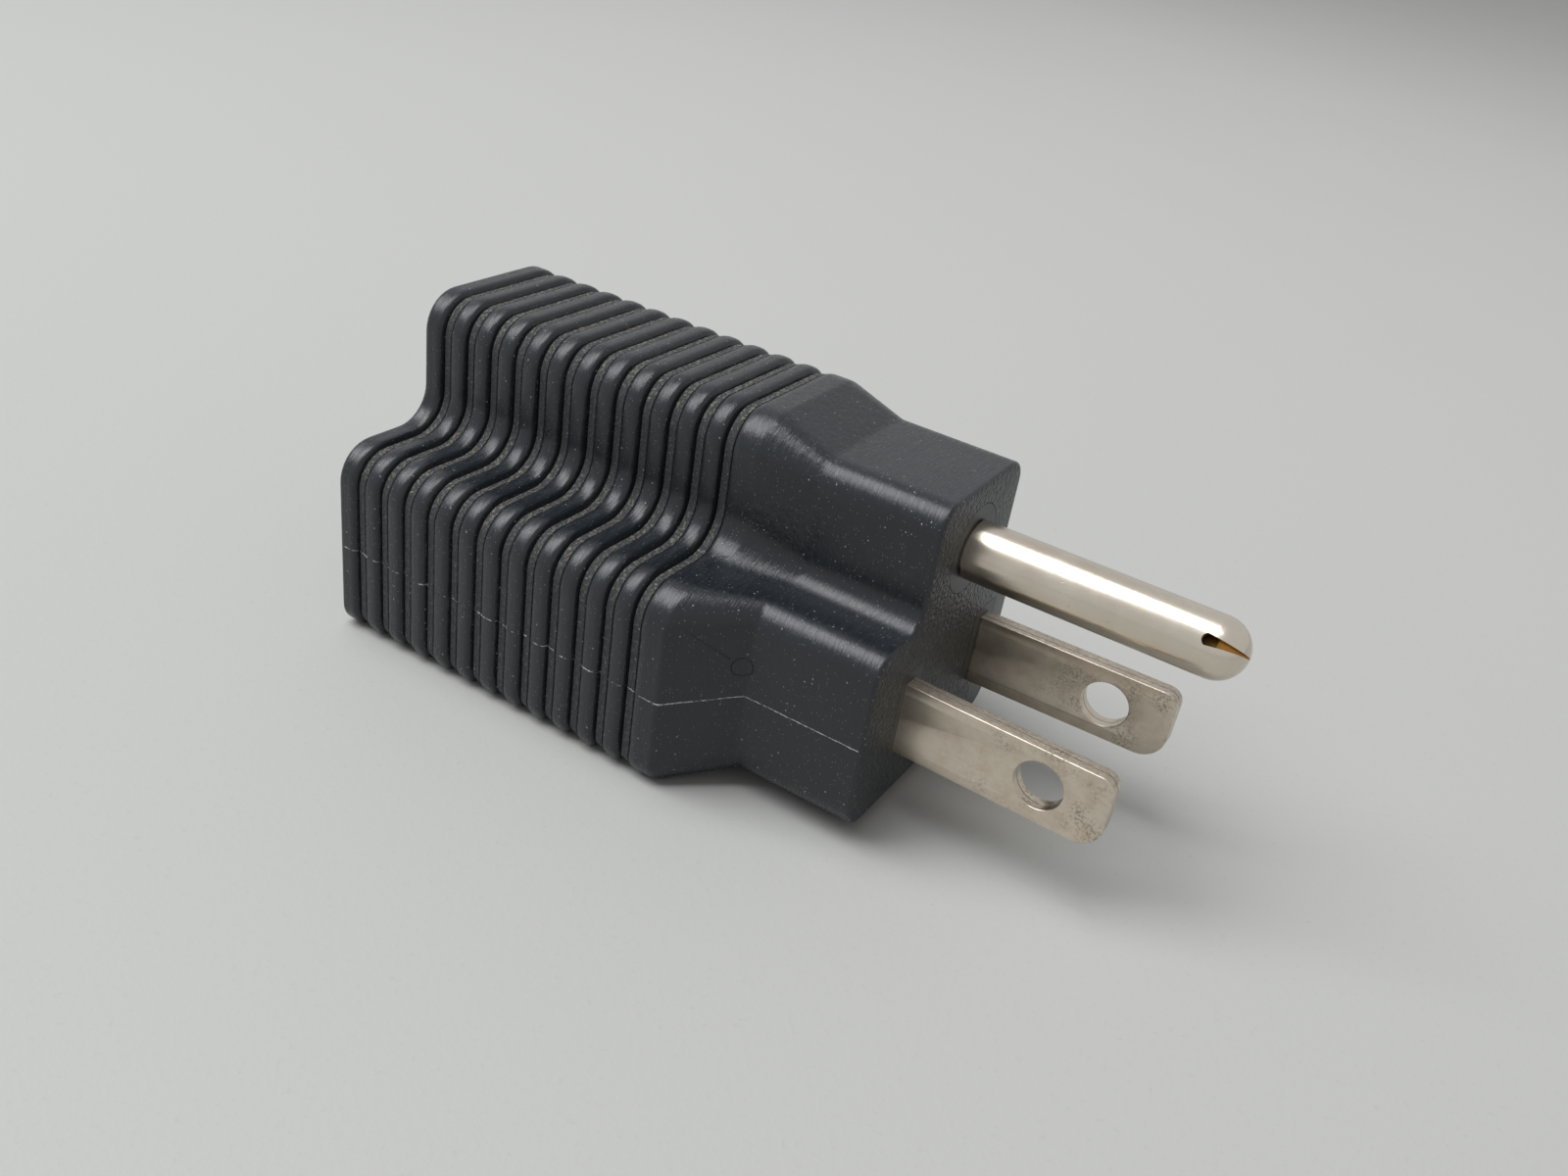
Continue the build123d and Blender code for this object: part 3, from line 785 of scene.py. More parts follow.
def soft_pvc():
    made, tree, shader, coords = new_material("moulded_soft_pvc", "#25282b", 0.4)
    x, y, z = add_node(tree, "ShaderNodeSeparateXYZ", None, {0: coords}).outputs
    facing = add_node(tree, "ShaderNodeSeparateXYZ", None, {
        0: add_node(tree, "ShaderNodeNewGeometry").outputs["Normal"],
    }).outputs
    on_ramp = groove_ramp(tree, x)
    at_face = add_node(tree, "ShaderNodeMapRange", None, {
        "Value": x,
        "From Min": (FACE_X - 0.4) * MM,
        "From Max": (FACE_X - 0.1) * MM,
    })
    on_face = product(
        tree,
        add_node(tree, "ShaderNodeMapRange", None, {"Value": facing[0], "From Min": 0.8, "From Max": 0.95}),
        at_face,
    )
    upward = add_node(tree, "ShaderNodeMapRange", None, {
        "Value": facing[2],
        "From Min": 0.3,
        "From Max": 0.9,
    })
    mark = mould_mark(tree, coords)
    grain = add_node(tree, "ShaderNodeTexNoise", None, {
        "Vector": coords,
        "Scale": per_mm(RAMP_GRIT),
        "Detail": 4.0,
        "Roughness": 0.7,
    })
    leather = add_node(tree, "ShaderNodeTexNoise", None, {
        "Vector": coords,
        "Scale": per_mm(0.36),
        "Detail": 2.0,
        "Roughness": 0.4,
    })
    peel = add_node(tree, "ShaderNodeTexNoise", None, {
        "Vector": coords,
        "Scale": per_mm(0.55),
        "Detail": 3.0,
        "Roughness": 0.5,
    })
    streaks = add_node(tree, "ShaderNodeMapRange", None, {
        "Value": add_node(tree, "ShaderNodeTexNoise", None, {
            "Vector": add_node(tree, "ShaderNodeMapping", None, {
                "Vector": coords,
                "Scale": (3.0, 0.3, 0.3),
            }),
            "Scale": per_mm(0.4),
            "Detail": 4.0,
            "Roughness": 0.6,
        }),
        "From Min": 0.35,
        "From Max": 0.65,
    })
    clouds = add_node(tree, "ShaderNodeTexNoise", None, {
        "Vector": coords,
        "Scale": per_mm(6.0),
        "Detail": 4.0,
        "Roughness": 0.6,
    })
    dust = specks(tree, coords, 0.55, 0.22, 0.062)
    fine_dust = specks(tree, coords, 0.2, 0.3, 0.028)
    gritty = product(
        tree,
        on_ramp,
        add_node(tree, "ShaderNodeMapRange", None, {"Value": grain, "From Min": 0.52, "From Max": 0.6}),
    )
    settled = add_node(tree, "ShaderNodeMix", None, {"Factor": upward, "A": 0.22, "B": 0.9})
    base = add_node(tree, "ShaderNodeMix", {"data_type": "RGBA"}, {
        "Factor": clouds,
        "A": colour("#191d21"),
        "B": colour("#22272c"),
    })
    base = layered(tree, base, [
        (product(tree, on_ramp, 0.5), "#313335"),
        (product(tree, gritty, settled), "#857e70"),
        (product(tree, total_of(tree, dust, fine_dust), 0.7), "#b4b3ae"),
        (product(tree, mark, 0.95), "#08090a"),
    ])
    fill(tree, shader, {"Base Color": base})
    smooth = total_of(tree, 0.12, product(tree, streaks, 0.2), product(tree, clouds, 0.12))
    rough = add_node(tree, "ShaderNodeMix", None, {"Factor": on_ramp, "A": smooth, "B": 0.7})
    rough = add_node(tree, "ShaderNodeMix", None, {"Factor": on_face, "A": rough, "B": 0.36})
    fill(tree, shader, {"Roughness": rough})
    near_hump = add_node(tree, "ShaderNodeMapRange", None, {
        "Value": z,
        "From Min": 15.5 * MM,
        "From Max": 17.5 * MM,
    })
    in_taper = product(
        tree,
        add_node(tree, "ShaderNodeMapRange", None, {
            "Value": x,
            "From Min": (TAPER_START_X - 2) * MM,
            "From Max": TAPER_START_X * MM,
        }),
        add_node(tree, "ShaderNodeMapRange", None, {
            "Value": x,
            "From Min": (TAPER_END_X + 3) * MM,
            "From Max": TAPER_END_X * MM,
        }),
    )
    ripple = total_of(tree, 0.35, product(tree, in_taper, near_hump, 2.0))
    grained_face = product(
        tree,
        on_face,
        add_node(tree, "ShaderNodeMapRange", None, {
            "Value": y,
            "From Min": SMOOTH_STRIP_Y * MM,
            "From Max": (SMOOTH_STRIP_Y - 0.3) * MM,
        }),
    )
    height = total_of(
        tree,
        product(tree, peel, ripple, PEEL_DEPTH),
        product(tree, grain, on_ramp, RAMP_GRAIN_DEPTH),
        product(tree, leather, grained_face, FACE_GRAIN_DEPTH),
        product(tree, dust, 0.02),
        product(tree, streaks, 0.01),
        product(tree, mark, -0.04),
    )
    fill(tree, shader, {
        "Normal": add_node(tree, "ShaderNodeBump", None, {"Distance": MM, "Height": height}),
    })
    return made


# %% [markdown]
# The insert and the outlet block are harder and smoother than the jacket, and a shade darker.

# %% Hard plastics


def hard_plastic(name, dark, light, roughness):
    made, tree, shader, coords = new_material(name, dark, roughness)
    clouds = add_node(tree, "ShaderNodeTexNoise", None, {
        "Vector": coords,
        "Scale": per_mm(3.0),
        "Detail": 4.0,
        "Roughness": 0.6,
    })
    spark = add_node(tree, "ShaderNodeTexNoise", None, {
        "Vector": coords,
        "Scale": per_mm(0.12),
        "Detail": 3.0,
        "Roughness": 0.6,
    })
    dust = specks(tree, coords, 0.4, 0.05, 0.04)
    paler = total_of(tree, product(tree, clouds, 0.4), product(tree, dust, 0.6))
    base = layered(tree, colour(dark), [(paler, light)])
    fill(tree, shader, {"Base Color": base})
    fill(tree, shader, {"Roughness": total_of(tree, roughness - 0.06, product(tree, clouds, 0.12))})
    fill(tree, shader, {
        "Normal": add_node(tree, "ShaderNodeBump", None, {
            "Distance": MM,
            "Height": product(tree, spark, 0.006),
        }),
    })
    return made


# %% [markdown]
# The blades are folded double from brass sheet and nickel plated. Their plating is satin, drawn along
# the sheet, and stained round the hole and the tip. The sheared top edge is rough, and a fine seam
# shows where the two layers meet. The pin's plating is brighter, and the brass shows inside the slit,
# where the plating never reached.

# %% Plated and bare metals
PIN_R = 2.375
BLADE_SPLAY = radians(2.3)
SEAM_HALF = 0.035


def fold_seam(tree, coords, on_edge):
    """1 on the line where the blade's two layers meet, which shows on its edges and in its hole."""
    x, y, _ = add_node(tree, "ShaderNodeSeparateXYZ", None, {0: coords}).outputs
    beyond = add_node(tree, "ShaderNodeMath", {"operation": "MAXIMUM"}, {
        0: add_node(tree, "ShaderNodeMath", {"operation": "SUBTRACT"}, {0: x, 1: FACE_X * MM}),
        1: 0.0,
    })
    across = add_node(tree, "ShaderNodeMath", {"operation": "ABSOLUTE"}, {
        0: add_node(tree, "ShaderNodeMath", {"operation": "SUBTRACT"}, {0: y, 1: PIN_Y * MM}),
    })
    off = add_node(tree, "ShaderNodeMath", {"operation": "SUBTRACT"}, {0: across, 1: BLADE_PITCH / 2 * MM})
    off = add_node(tree, "ShaderNodeMath", {"operation": "SUBTRACT"}, {
        0: off,
        1: product(tree, beyond, tan(BLADE_SPLAY)),
    })
    near = add_node(tree, "ShaderNodeMapRange", None, {
        "Value": add_node(tree, "ShaderNodeMath", {"operation": "ABSOLUTE"}, {0: off}),
        "From Min": 1.4 * SEAM_HALF * MM,
        "From Max": 0.6 * SEAM_HALF * MM,
    })
    return product(tree, near, on_edge)


def blade_plate():
    made, tree, shader, coords = new_material("satin_nickel_plate", "#d6ccba", 0.36, 1.0)
    facing = add_node(tree, "ShaderNodeSeparateXYZ", None, {
        0: add_node(tree, "ShaderNodeNewGeometry").outputs["Normal"],
    }).outputs
    x, _, z = add_node(tree, "ShaderNodeSeparateXYZ", None, {0: coords}).outputs
    on_edge = add_node(tree, "ShaderNodeMapRange", None, {
        "Value": add_node(tree, "ShaderNodeMath", {"operation": "ABSOLUTE"}, {0: facing[1]}),
        "From Min": 0.5,
        "From Max": 0.3,
    })
    seam = fold_seam(tree, coords, on_edge)
    on_top = product(
        tree,
        on_edge,
        add_node(tree, "ShaderNodeMapRange", None, {
            "Value": z,
            "From Min": (BLADE_Z + 2.5) * MM,
            "From Max": (BLADE_Z + 2.7) * MM,
        }),
    )
    drawn = add_node(tree, "ShaderNodeTexNoise", None, {
        "Vector": add_node(tree, "ShaderNodeMapping", None, {"Vector": coords, "Scale": (0.06, 1.0, 1.0)}),
        "Scale": per_mm(0.10),
        "Detail": 4.0,
        "Roughness": 0.6,
    })
    cloud = add_node(tree, "ShaderNodeTexNoise", None, {
        "Vector": coords,
        "Scale": per_mm(2.6),
        "Detail": 4.0,
        "Roughness": 0.6,
    })
    fleck = add_node(tree, "ShaderNodeTexNoise", None, {
        "Vector": coords,
        "Scale": per_mm(0.22),
        "Detail": 3.0,
        "Roughness": 0.7,
    })
    sheared = add_node(tree, "ShaderNodeTexNoise", None, {
        "Vector": add_node(tree, "ShaderNodeMapping", None, {"Vector": coords, "Scale": (0.35, 1.0, 1.0)}),
        "Scale": per_mm(0.14),
        "Detail": 4.0,
        "Roughness": 0.7,
    })
    toward_tip = add_node(tree, "ShaderNodeMapRange", None, {
        "Value": x,
        "From Min": (FACE_X + 6) * MM,
        "From Max": (FACE_X + 9) * MM,
    })
    stained = product(
        tree,
        add_node(tree, "ShaderNodeMapRange", None, {"Value": cloud, "From Min": 0.48, "From Max": 0.66}),
        add_node(tree, "ShaderNodeMapRange", None, {"Value": fleck, "From Min": 0.47, "From Max": 0.6}),
    )
    stain = product(
        tree,
        stained,
        add_node(tree, "ShaderNodeMix", None, {"Factor": toward_tip, "A": 0.2, "B": 1.0}),
    )
    haze = add_node(tree, "ShaderNodeTexNoise", None, {
        "Vector": coords,
        "Scale": per_mm(1.4),
        "Detail": 5.0,
        "Roughness": 0.65,
    })
    base = add_node(tree, "ShaderNodeMix", {"data_type": "RGBA"}, {
        "Factor": drawn,
        "A": colour("#cbbfae"),
        "B": colour("#dcd2c2"),
    })
    base = layered(tree, base, [
        (
            product(
                tree,
                add_node(tree, "ShaderNodeMapRange", None, {
                    "Value": haze,
                    "From Min": 0.42,
                    "From Max": 0.7,
                }),
                0.5,
            ),
            "#b9a896",
        ),
        (product(tree, stain, 0.6), "#5f5446"),
        (
            product(
                tree,
                on_top,
                add_node(tree, "ShaderNodeMapRange", None, {
                    "Value": sheared,
                    "From Min": 0.35,
                    "From Max": 0.65,
                }),
                0.7,
            ),
            "#857d72",
        ),
        (product(tree, seam, 0.85), "#2b2824"),
    ])
    fill(tree, shader, {"Base Color": base})
    rough = total_of(tree, 0.26, product(tree, drawn, 0.14), product(tree, stain, 0.2))
    fill(tree, shader, {"Roughness": total_of(tree, rough, product(tree, on_top, 0.15))})
    height = total_of(
        tree,
        product(tree, drawn, 0.006),
        product(tree, fleck, 0.004),
        product(tree, sheared, on_top, 0.03),
        product(tree, seam, -0.03),
    )
    fill(tree, shader, {
        "Normal": add_node(tree, "ShaderNodeBump", None, {"Distance": MM, "Height": height}),
    })
    return made


# %% [markdown]
# On the pin, a distance from its axis, and from the middle of its domed end, tells the plated outside
# from the bare brass inside the slit.

# %% The pin's plating


def pin_plate():
    made, tree, shader, coords = new_material("bright_nickel_plate", "#cfc8bd", 0.2, 1.0)
    dome_x = corner_mm("ground_pin", 1).x - PIN_R
    x, y, z = add_node(tree, "ShaderNodeSeparateXYZ", None, {0: coords}).outputs
    beyond = add_node(tree, "ShaderNodeMath", {"operation": "MAXIMUM"}, {
        0: add_node(tree, "ShaderNodeMath", {"operation": "SUBTRACT"}, {0: x, 1: dome_x * MM}),
        1: 0.0,
    })
    across = add_node(tree, "ShaderNodeMath", {"operation": "SUBTRACT"}, {0: y, 1: PIN_Y * MM})
    up = add_node(tree, "ShaderNodeMath", {"operation": "SUBTRACT"}, {0: z, 1: PIN_Z * MM})
    from_axis = add_node(tree, "ShaderNodeCombineXYZ", None, {0: beyond, 1: across, 2: up})
    depth = add_node(tree, "ShaderNodeVectorMath", {"operation": "LENGTH"}, {0: from_axis})
    in_slit = add_node(tree, "ShaderNodeMapRange", None, {
        "Value": x,
        "From Min": (dome_x - 1.2) * MM,
        "From Max": (dome_x - 1.0) * MM,
    })
    bare = product(
        tree,
        in_slit,
        add_node(tree, "ShaderNodeMapRange", None, {
            "Value": depth,
            "From Min": (PIN_R - 0.04) * MM,
            "From Max": (PIN_R - 0.12) * MM,
        }),
    )
    drawn = add_node(tree, "ShaderNodeTexNoise", None, {
        "Vector": add_node(tree, "ShaderNodeMapping", None, {"Vector": coords, "Scale": (0.05, 1.0, 1.0)}),
        "Scale": per_mm(0.14),
        "Detail": 4.0,
        "Roughness": 0.6,
    })
    cloud = add_node(tree, "ShaderNodeTexNoise", None, {
        "Vector": coords,
        "Scale": per_mm(3.0),
        "Detail": 3.0,
        "Roughness": 0.6,
    })
    pits = specks(tree, coords, 0.5, 0.08, 0.05)
    base = add_node(tree, "ShaderNodeMix", {"data_type": "RGBA"}, {
        "Factor": cloud,
        "A": colour("#c6baa8"),
        "B": colour("#ded6c8"),
    })
    base = layered(tree, base, [(product(tree, pits, 0.6), "#7d7263"), (bare, "#c9a25c")])
    fill(tree, shader, {"Base Color": base})
    uneven = total_of(tree, product(tree, drawn, 0.1), product(tree, cloud, 0.1), product(tree, bare, 0.12))
    fill(tree, shader, {"Roughness": total_of(tree, 0.15, uneven)})
    fill(tree, shader, {
        "Normal": add_node(tree, "ShaderNodeBump", None, {
            "Distance": MM,
            "Height": total_of(tree, product(tree, drawn, 0.003), product(tree, pits, -0.01)),
        }),
    })
    return made


# %% [markdown]
# The contacts, straps and rivets are bare brass, dulled a little and unevenly.

# %% Bare brass


def bare_brass(name, dark, light, roughness):
    made, tree, shader, coords = new_material(name, light, roughness, 1.0)
    cloud = add_node(tree, "ShaderNodeTexNoise", None, {
        "Vector": coords,
        "Scale": per_mm(1.8),
        "Detail": 4.0,
        "Roughness": 0.6,
    })
    fill(tree, shader, {
        "Base Color": add_node(tree, "ShaderNodeMix", {"data_type": "RGBA"}, {
            "Factor": cloud,
            "A": colour(dark),
            "B": colour(light),
        }),
    })
    fill(tree, shader, {"Roughness": total_of(tree, roughness - 0.08, product(tree, cloud, 0.16))})
    fill(tree, shader, {
        "Normal": add_node(tree, "ShaderNodeBump", None, {
            "Distance": MM,
            "Height": product(
                tree,
                add_node(tree, "ShaderNodeTexNoise", None, {
                    "Vector": coords,
                    "Scale": per_mm(0.15),
                    "Detail": 3.0,
                    "Roughness": 0.55,
                }),
                0.004,
            ),
        }),
    })
    return made


# %% [markdown]
# Each finish is made once, and the pieces of one plastic or metal share it.

# %% Make the materials
jacket_pvc = soft_pvc()
insert_pvc = hard_plastic("moulded_hard_pvc", "#1f2225", "#2b2e31", 0.4)
outlet_nylon = hard_plastic("moulded_nylon", "#1f2123", "#303335", 0.42)
blade_nickel = blade_plate()
pin_nickel = pin_plate()
contact_brass = bare_brass("spring_brass", "#a9803f", "#c9a25a", 0.32)
rivet_brass = bare_brass("rivet_brass", "#b08846", "#d2ac64", 0.28)
print(len(bpy.data.materials), "materials")

# %% [markdown]
# ## Make the skin
# The tree runs on the outlines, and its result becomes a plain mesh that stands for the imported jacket.
# Shading is smooth, apart from edges that turn by more than 50 degrees.

# %% Run the skin's tree
holder = link_object("jacket_outlines", outline_mesh())
skin = run_tree(holder, skin_tree(), SKIN_SIZES, jacket_pvc, "jacket_skin")
close_up(skin)
skin.data.shade_smooth()
skin.data.set_sharp_from_angle(angle=radians(50))
declare(skin, "jacket")

# %% [markdown]
# ## Mould flash
# Where the two halves of the mould met, a little PVC crept between them. It is a hair-thin ragged fin
# on both sides of the body. It follows the same rule as the skin: a line of stations, drawn in by the
# same inset, at the height where the mould parted. Noise makes it ragged.

# %% The flash's tree
FLASH_SIZES = dict(SKIN_SIZES)
FLASH_SIZES.update({
    "Side": 1.0,
    "Grip Half Width": GRIP_WIDTH / 2 * MM,
    "Plug Half Width": PLUG_WIDTH / 2 * MM,
    "Grip Height": 7.9 * MM,
    "Plug Height": 8.9 * MM,
    "Wander": 0.2 * MM,
    "Fin Radius": 0.072 * MM,
})


def flash_tree():
    tree, sizes, result = geometry_tree("mould_flash", FLASH_SIZES)
    end = add_node(tree, "ShaderNodeMath", {"operation": "ADD"}, {0: sizes["Start"], 1: sizes["Length"]})
    low = add_node(tree, "ShaderNodeMath", {"operation": "ADD"}, {
        0: sizes["Start"],
        1: sizes["Outlet Edge"],
    })
    high = add_node(tree, "ShaderNodeMath", {"operation": "SUBTRACT"}, {0: end, 1: sizes["Plug Edge"]})
    line = stations(tree, low, high, sizes["Station Gap"])
    x = add_node(tree, "GeometryNodeInputNamedAttribute", {"data_type": "FLOAT"}, {"Name": "station"})
    along = add_node(tree, "ShaderNodeCombineXYZ", None, {0: x, 1: sizes["Side"]})
    ragged = add_node(tree, "ShaderNodeMath", {"operation": "SUBTRACT"}, {
        0: add_node(tree, "ShaderNodeTexNoise", None, {
            "Vector": along,
            "Scale": per_mm(1.1),
            "Detail": 4.0,
            "Roughness": 0.7,
        }),
        1: 0.5,
    })
    taper = taper_share(tree, sizes, x)
    half = add_node(tree, "ShaderNodeMix", None, {
        "Factor": taper,
        "A": sizes["Grip Half Width"],
        "B": sizes["Plug Half Width"],
    })
    reach = add_node(tree, "ShaderNodeMath", {"operation": "SUBTRACT"}, {
        0: half,
        1: surface_inset(tree, sizes, x),
    })
    height = add_node(tree, "ShaderNodeMix", None, {
        "Factor": taper,
        "A": sizes["Grip Height"],
        "B": sizes["Plug Height"],
    })
    height = add_node(tree, "ShaderNodeMath", {"operation": "MULTIPLY_ADD"}, {
        0: ragged,
        1: sizes["Wander"],
        2: height,
    })
    place = {0: x, 1: product(tree, reach, sizes["Side"]), 2: height}
    line = add_node(tree, "GeometryNodeSetPosition", None, {
        "Geometry": line,
        "Position": add_node(tree, "ShaderNodeCombineXYZ", None, place),
    })
    uneven = add_node(tree, "ShaderNodeMapRange", None, {
        "Value": add_node(tree, "ShaderNodeTexNoise", None, {
            "Vector": along,
            "Scale": per_mm(0.45),
            "Detail": 3.0,
            "Roughness": 0.7,
        }),
        "From Min": 0.42,
        "From Max": 0.68,
    })
    thinner = add_node(tree, "ShaderNodeMath", {"operation": "MULTIPLY_ADD"}, {0: taper, 1: -0.35, 2: 1.0})
    radius = product(tree, total_of(tree, 0.35, uneven), sizes["Fin Radius"], thinner)
    profile = add_node(tree, "GeometryNodeCurvePrimitiveCircle", None, {"Resolution": 6, "Radius": 1.0})
    inputs = {"Curve": line, "Profile Curve": profile, "Scale": radius, "Fill Caps": True}
    fin = add_node(tree, "GeometryNodeCurveToMesh", None, inputs)
    finished(tree, [fin], sizes["Material"], result)
    return tree


# %% [markdown]
# The fin is nearly black, with pale grey patches on it that are painted highlight along its thin edge.

# %% The flash's finish


def flash_pvc():
    """Painted highlight in pale grey patches: in spots along the grip, nearly all along the plug."""
    made, tree, shader, coords = new_material("mould_flash_pvc", "#6d7072", 0.5)
    along_plug = add_node(tree, "ShaderNodeMapRange", None, {
        "Value": add_node(tree, "ShaderNodeSeparateXYZ", None, {0: coords}),
        "From Min": (TAPER_START_X - 3) * MM,
        "From Max": TAPER_START_X * MM,
    })
    # Painted highlight: noise picks the pale grey patches, with more of them along the plug.
    painted_highlight = add_node(tree, "ShaderNodeTexNoise", None, {
        "Vector": coords,
        "Scale": per_mm(0.8),
        "Detail": 4.0,
        "Roughness": 0.7,
    })
    painted_highlight = total_of(tree, painted_highlight, product(tree, along_plug, 0.14))
    fill(tree, shader, {
        "Base Color": add_node(tree, "ShaderNodeMix", {"data_type": "RGBA"}, {
            "Factor": add_node(tree, "ShaderNodeMapRange", None, {
                "Value": painted_highlight,
                "From Min": 0.5,
                "From Max": 0.6,
            }),
            "A": colour("#17191b"),
            "B": colour("#a6a9aa"),
        }),
    })
    return made


# %% [markdown]
# One tree serves both sides: a size called Side turns it to the near or the far one.

# %% Make the flash
flash_material = flash_pvc()
flash_rule = flash_tree()
for name, side in (("near", -1.0), ("far", 1.0)):
    sizes = dict(FLASH_SIZES, Side=side)
    empty = link_object(f"{name}_line", bpy.data.meshes.new(f"{name}_line"))
    flash = run_tree(empty, flash_rule, sizes, flash_material, f"mould_flash_{name}")
    close_up(flash)
    flash.data.shade_smooth()
    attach(flash, "root")

# %% [markdown]
# ## Blades
# Each blade is cut from sheet, so it starts as a flat curve with its holes, filled and given a
# thickness with slightly rounded edges. The part beyond the plug face is then splayed outwards by a
# small angle, as the real ones are.

# %% Blades
BLADE_THICK = 1.5
BLADE_WIDTH = 6.25
BLADE_REACH = 16.95
BLADE_TAIL_X = corner_mm("line_blade", 0).x - FACE_X
INSERT_BACK = -11.0
TAIL_WIDTH = 5.0
TIP_TOP_R, TIP_LOW_R = 1.2, 2.2
HOLE_X, HOLE_R = 11.55, 1.97
SHEET_EDGE = 0.09


def cut_sheet(name, outlines, thickness, edge):
    """A mesh cut from sheet: the first outline is its edge and the others are holes, in millimetres."""
    curve = bpy.data.curves.new(name, "CURVE")
    curve.dimensions = "2D"
    curve.fill_mode = "BOTH"
    curve.extrude = (thickness / 2 - edge) * MM
    curve.bevel_depth = edge * MM
    curve.offset = -edge * MM
    curve.bevel_resolution = 2
    for outline in outlines:
        spline = curve.splines.new("POLY")
        spline.points.add(len(outline) - 1)
        for point, (u, v) in zip(spline.points, outline):
            point.co = (u * MM, v * MM, 0.0, 1.0)
        spline.use_cyclic_u = True
    return as_mesh(link_object(name, curve), name)


def arc(u, v, radius, start, end, steps=14):
    """Points on an arc about (u, v), from start to end in degrees."""
    angles = [radians(start + (end - start) * i / steps) for i in range(steps + 1)]
    return [(u + radius * cos(a), v + radius * sin(a)) for a in angles]


def blade_piece(name, side):
    half = BLADE_WIDTH / 2
    outline = [(BLADE_TAIL_X, -TAIL_WIDTH / 2), (INSERT_BACK, -TAIL_WIDTH / 2), (INSERT_BACK, -half)]
    outline += arc(BLADE_REACH - TIP_LOW_R, TIP_LOW_R - half, TIP_LOW_R, -90, 0)
    outline += arc(BLADE_REACH - TIP_TOP_R, half - TIP_TOP_R, TIP_TOP_R, 0, 90)
    outline += [(INSERT_BACK, half), (INSERT_BACK, TAIL_WIDTH / 2), (BLADE_TAIL_X, TAIL_WIDTH / 2)]
    hole = arc(HOLE_X, 0, HOLE_R, 0, -360, steps=72)[:-1]
    piece = cut_sheet(name, [outline, hole], BLADE_THICK, SHEET_EDGE)
    root_y = PIN_Y + side * BLADE_PITCH / 2
    for vertex in piece.data.vertices:
        u, v, w = vertex.co
        y = root_y * MM + side * max(u, 0.0) * tan(BLADE_SPLAY) - w
        vertex.co = (FACE_X * MM + u, y, BLADE_Z * MM + v)
    close_up(piece)
    piece.data.shade_smooth()
    piece.data.set_sharp_from_angle(angle=radians(35))
    piece.data.materials.append(blade_nickel)
    declare(piece, name.replace("_plated", ""))


for name, side in (("neutral_blade_plated", -1), ("line_blade_plated", 1)):
    blade_piece(name, side)

# %% [markdown]
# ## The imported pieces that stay
# The pin, the insert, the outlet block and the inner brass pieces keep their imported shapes, and take
# the materials made above.

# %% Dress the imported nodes


def dress(node, material):
    for slot in nodes[node].material_slots:
        slot.material = material


dress("ground_pin", pin_nickel)
dress("plug_insert", insert_pvc)
dress("outlet_block", outlet_nylon)
dress("back_cover", outlet_nylon)
for circuit in ("neutral", "line", "ground"):
    dress(f"{circuit}_contact", contact_brass)
    dress(f"{circuit}_strap", contact_brass)
    for place in ("front", "rear"):
        dress(f"{circuit}_{place}_rivet", rivet_brass)

# %% [markdown]
# ## Table
# A pale, faintly speckled board, with painted light that makes it a little paler toward the far right and
# darker toward the near left.

# %% Table
bpy.ops.mesh.primitive_plane_add(size=14.0)
table = bpy.context.object
table.name = "table_top"


def table_board():
    made, tree, shader, coords = new_material("laminate_table", "#c6c6c3", 0.6)
    cloud = add_node(tree, "ShaderNodeTexNoise", None, {
        "Vector": coords,
        "Scale": per_mm(60.0),
        "Detail": 3.0,
        "Roughness": 0.5,
    })
    fleck = add_node(tree, "ShaderNodeTexNoise", None, {
        "Vector": coords,
        "Scale": per_mm(0.6),
        "Detail": 3.0,
        "Roughness": 0.6,
    })
    # Painted light and shade: the base colour runs from darker at the near left to paler at the far right.
    painted_light_away = add_node(tree, "ShaderNodeVectorMath", {"operation": "DOT_PRODUCT"}, {
        0: coords,
        1: (0.54, 0.84, 0.0),
    })
    base = add_node(tree, "ShaderNodeMix", {"data_type": "RGBA"}, {
        "Factor": add_node(tree, "ShaderNodeMapRange", None, {
            "Value": painted_light_away,
            "From Min": -0.08,
            "From Max": 0.35,
        }),
        "A": colour("#c2c2be"),
        "B": colour("#d9d8d4"),
    })
    base = layered(tree, base, [
        (product(tree, cloud, 0.2), "#c2c2be"),
        (
            product(
                tree,
                add_node(tree, "ShaderNodeMapRange", None, {
                    "Value": fleck,
                    "From Min": 0.6,
                    "From Max": 0.75,
                }),
                0.25,
            ),
            "#adada9",
        ),
    ])
    fill(tree, shader, {"Base Color": base})
    fill(tree, shader, {
        "Normal": add_node(tree, "ShaderNodeBump", None, {
            "Distance": MM,
            "Height": product(tree, fleck, 0.02),
        }),
    })
    return made


table.data.materials.append(table_board())

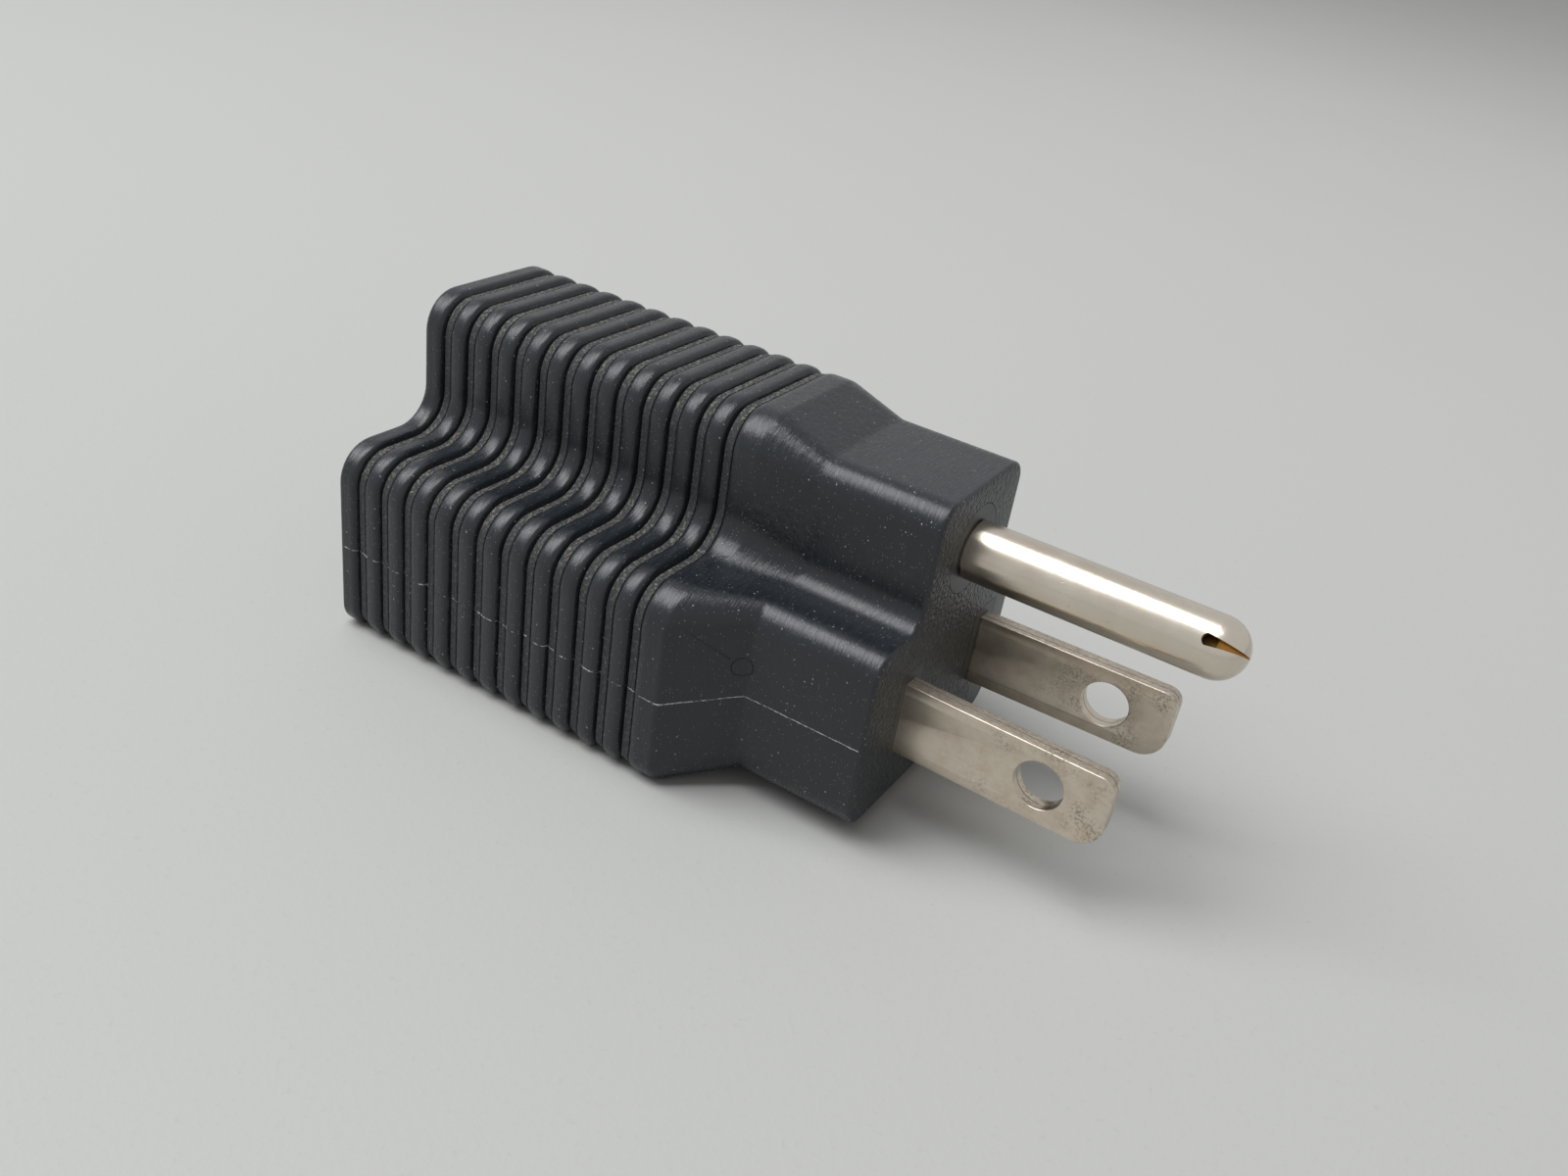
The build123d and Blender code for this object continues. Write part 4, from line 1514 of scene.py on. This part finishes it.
# %% [markdown]
# ## Camera
# The camera stands where the photograph was taken from, found by fitting the standard sizes of the
# prongs to the picture. Its focal length is that fit's, in pixels of the photograph's width.

# %% Camera
CAMERA_PLACE = Vector((44.115, -85.97, 67.58)) * MM
PHOTO_FOCAL_PX = 1388.5
PHOTO_WIDTH_PX = 1600
camera_data = bpy.data.cameras.new("camera")
camera_data.sensor_width = 36.0
camera_data.lens = PHOTO_FOCAL_PX / PHOTO_WIDTH_PX * camera_data.sensor_width
camera_data.clip_start = 0.01
camera = link_object("camera", camera_data)
turn = Matrix((
    (0.83651, -0.37171, 0.40258),
    (0.53018, 0.36347, -0.76603),
    (0.13842, 0.85424, 0.50112),
))
camera.matrix_world = Matrix.Translation(CAMERA_PLACE) @ turn.to_4x4()
bpy.context.scene.camera = camera

# %% [markdown]
# ## Light
# The photograph was taken in a light box: one large soft light overhead, a little to the left, and
# pale walls all round. The walls are seen, and reflected, a little paler than the light they give.

# %% Light
WALL_LIGHT, WALL_SEEN = 0.34, 0.8
scene = bpy.context.scene
scene.view_settings.view_transform = "Standard"
world = bpy.data.worlds.new("pale_walls")
scene.world = world
world.use_nodes = True
walls = world.node_tree
rays = add_node(walls, "ShaderNodeLightPath").outputs
seen = total_of(walls, rays["Is Camera Ray"], rays["Is Glossy Ray"], rays["Is Transmission Ray"])
fill(walls, walls.nodes["Background"], {
    "Color": colour("#e5e6e8"),
    "Strength": add_node(walls, "ShaderNodeMix", None, {"Factor": seen, "A": WALL_LIGHT, "B": WALL_SEEN}),
})


def soft_light(name, place, aim, size, watts, tint):
    data = bpy.data.lights.new(name, "AREA")
    data.shape = "RECTANGLE"
    data.size, data.size_y = size
    data.energy = watts
    data.color = colour(tint)[:3]
    made = link_object(name, data)
    direction = Vector(aim) - Vector(place)
    made.rotation_euler = direction.to_track_quat("-Z", "Y").to_euler()
    made.location = place


soft_light("soft_box", (-0.35, -0.2, 0.73), (0, 0, 0), (0.52, 0.85), 7.2, "#fafcff")
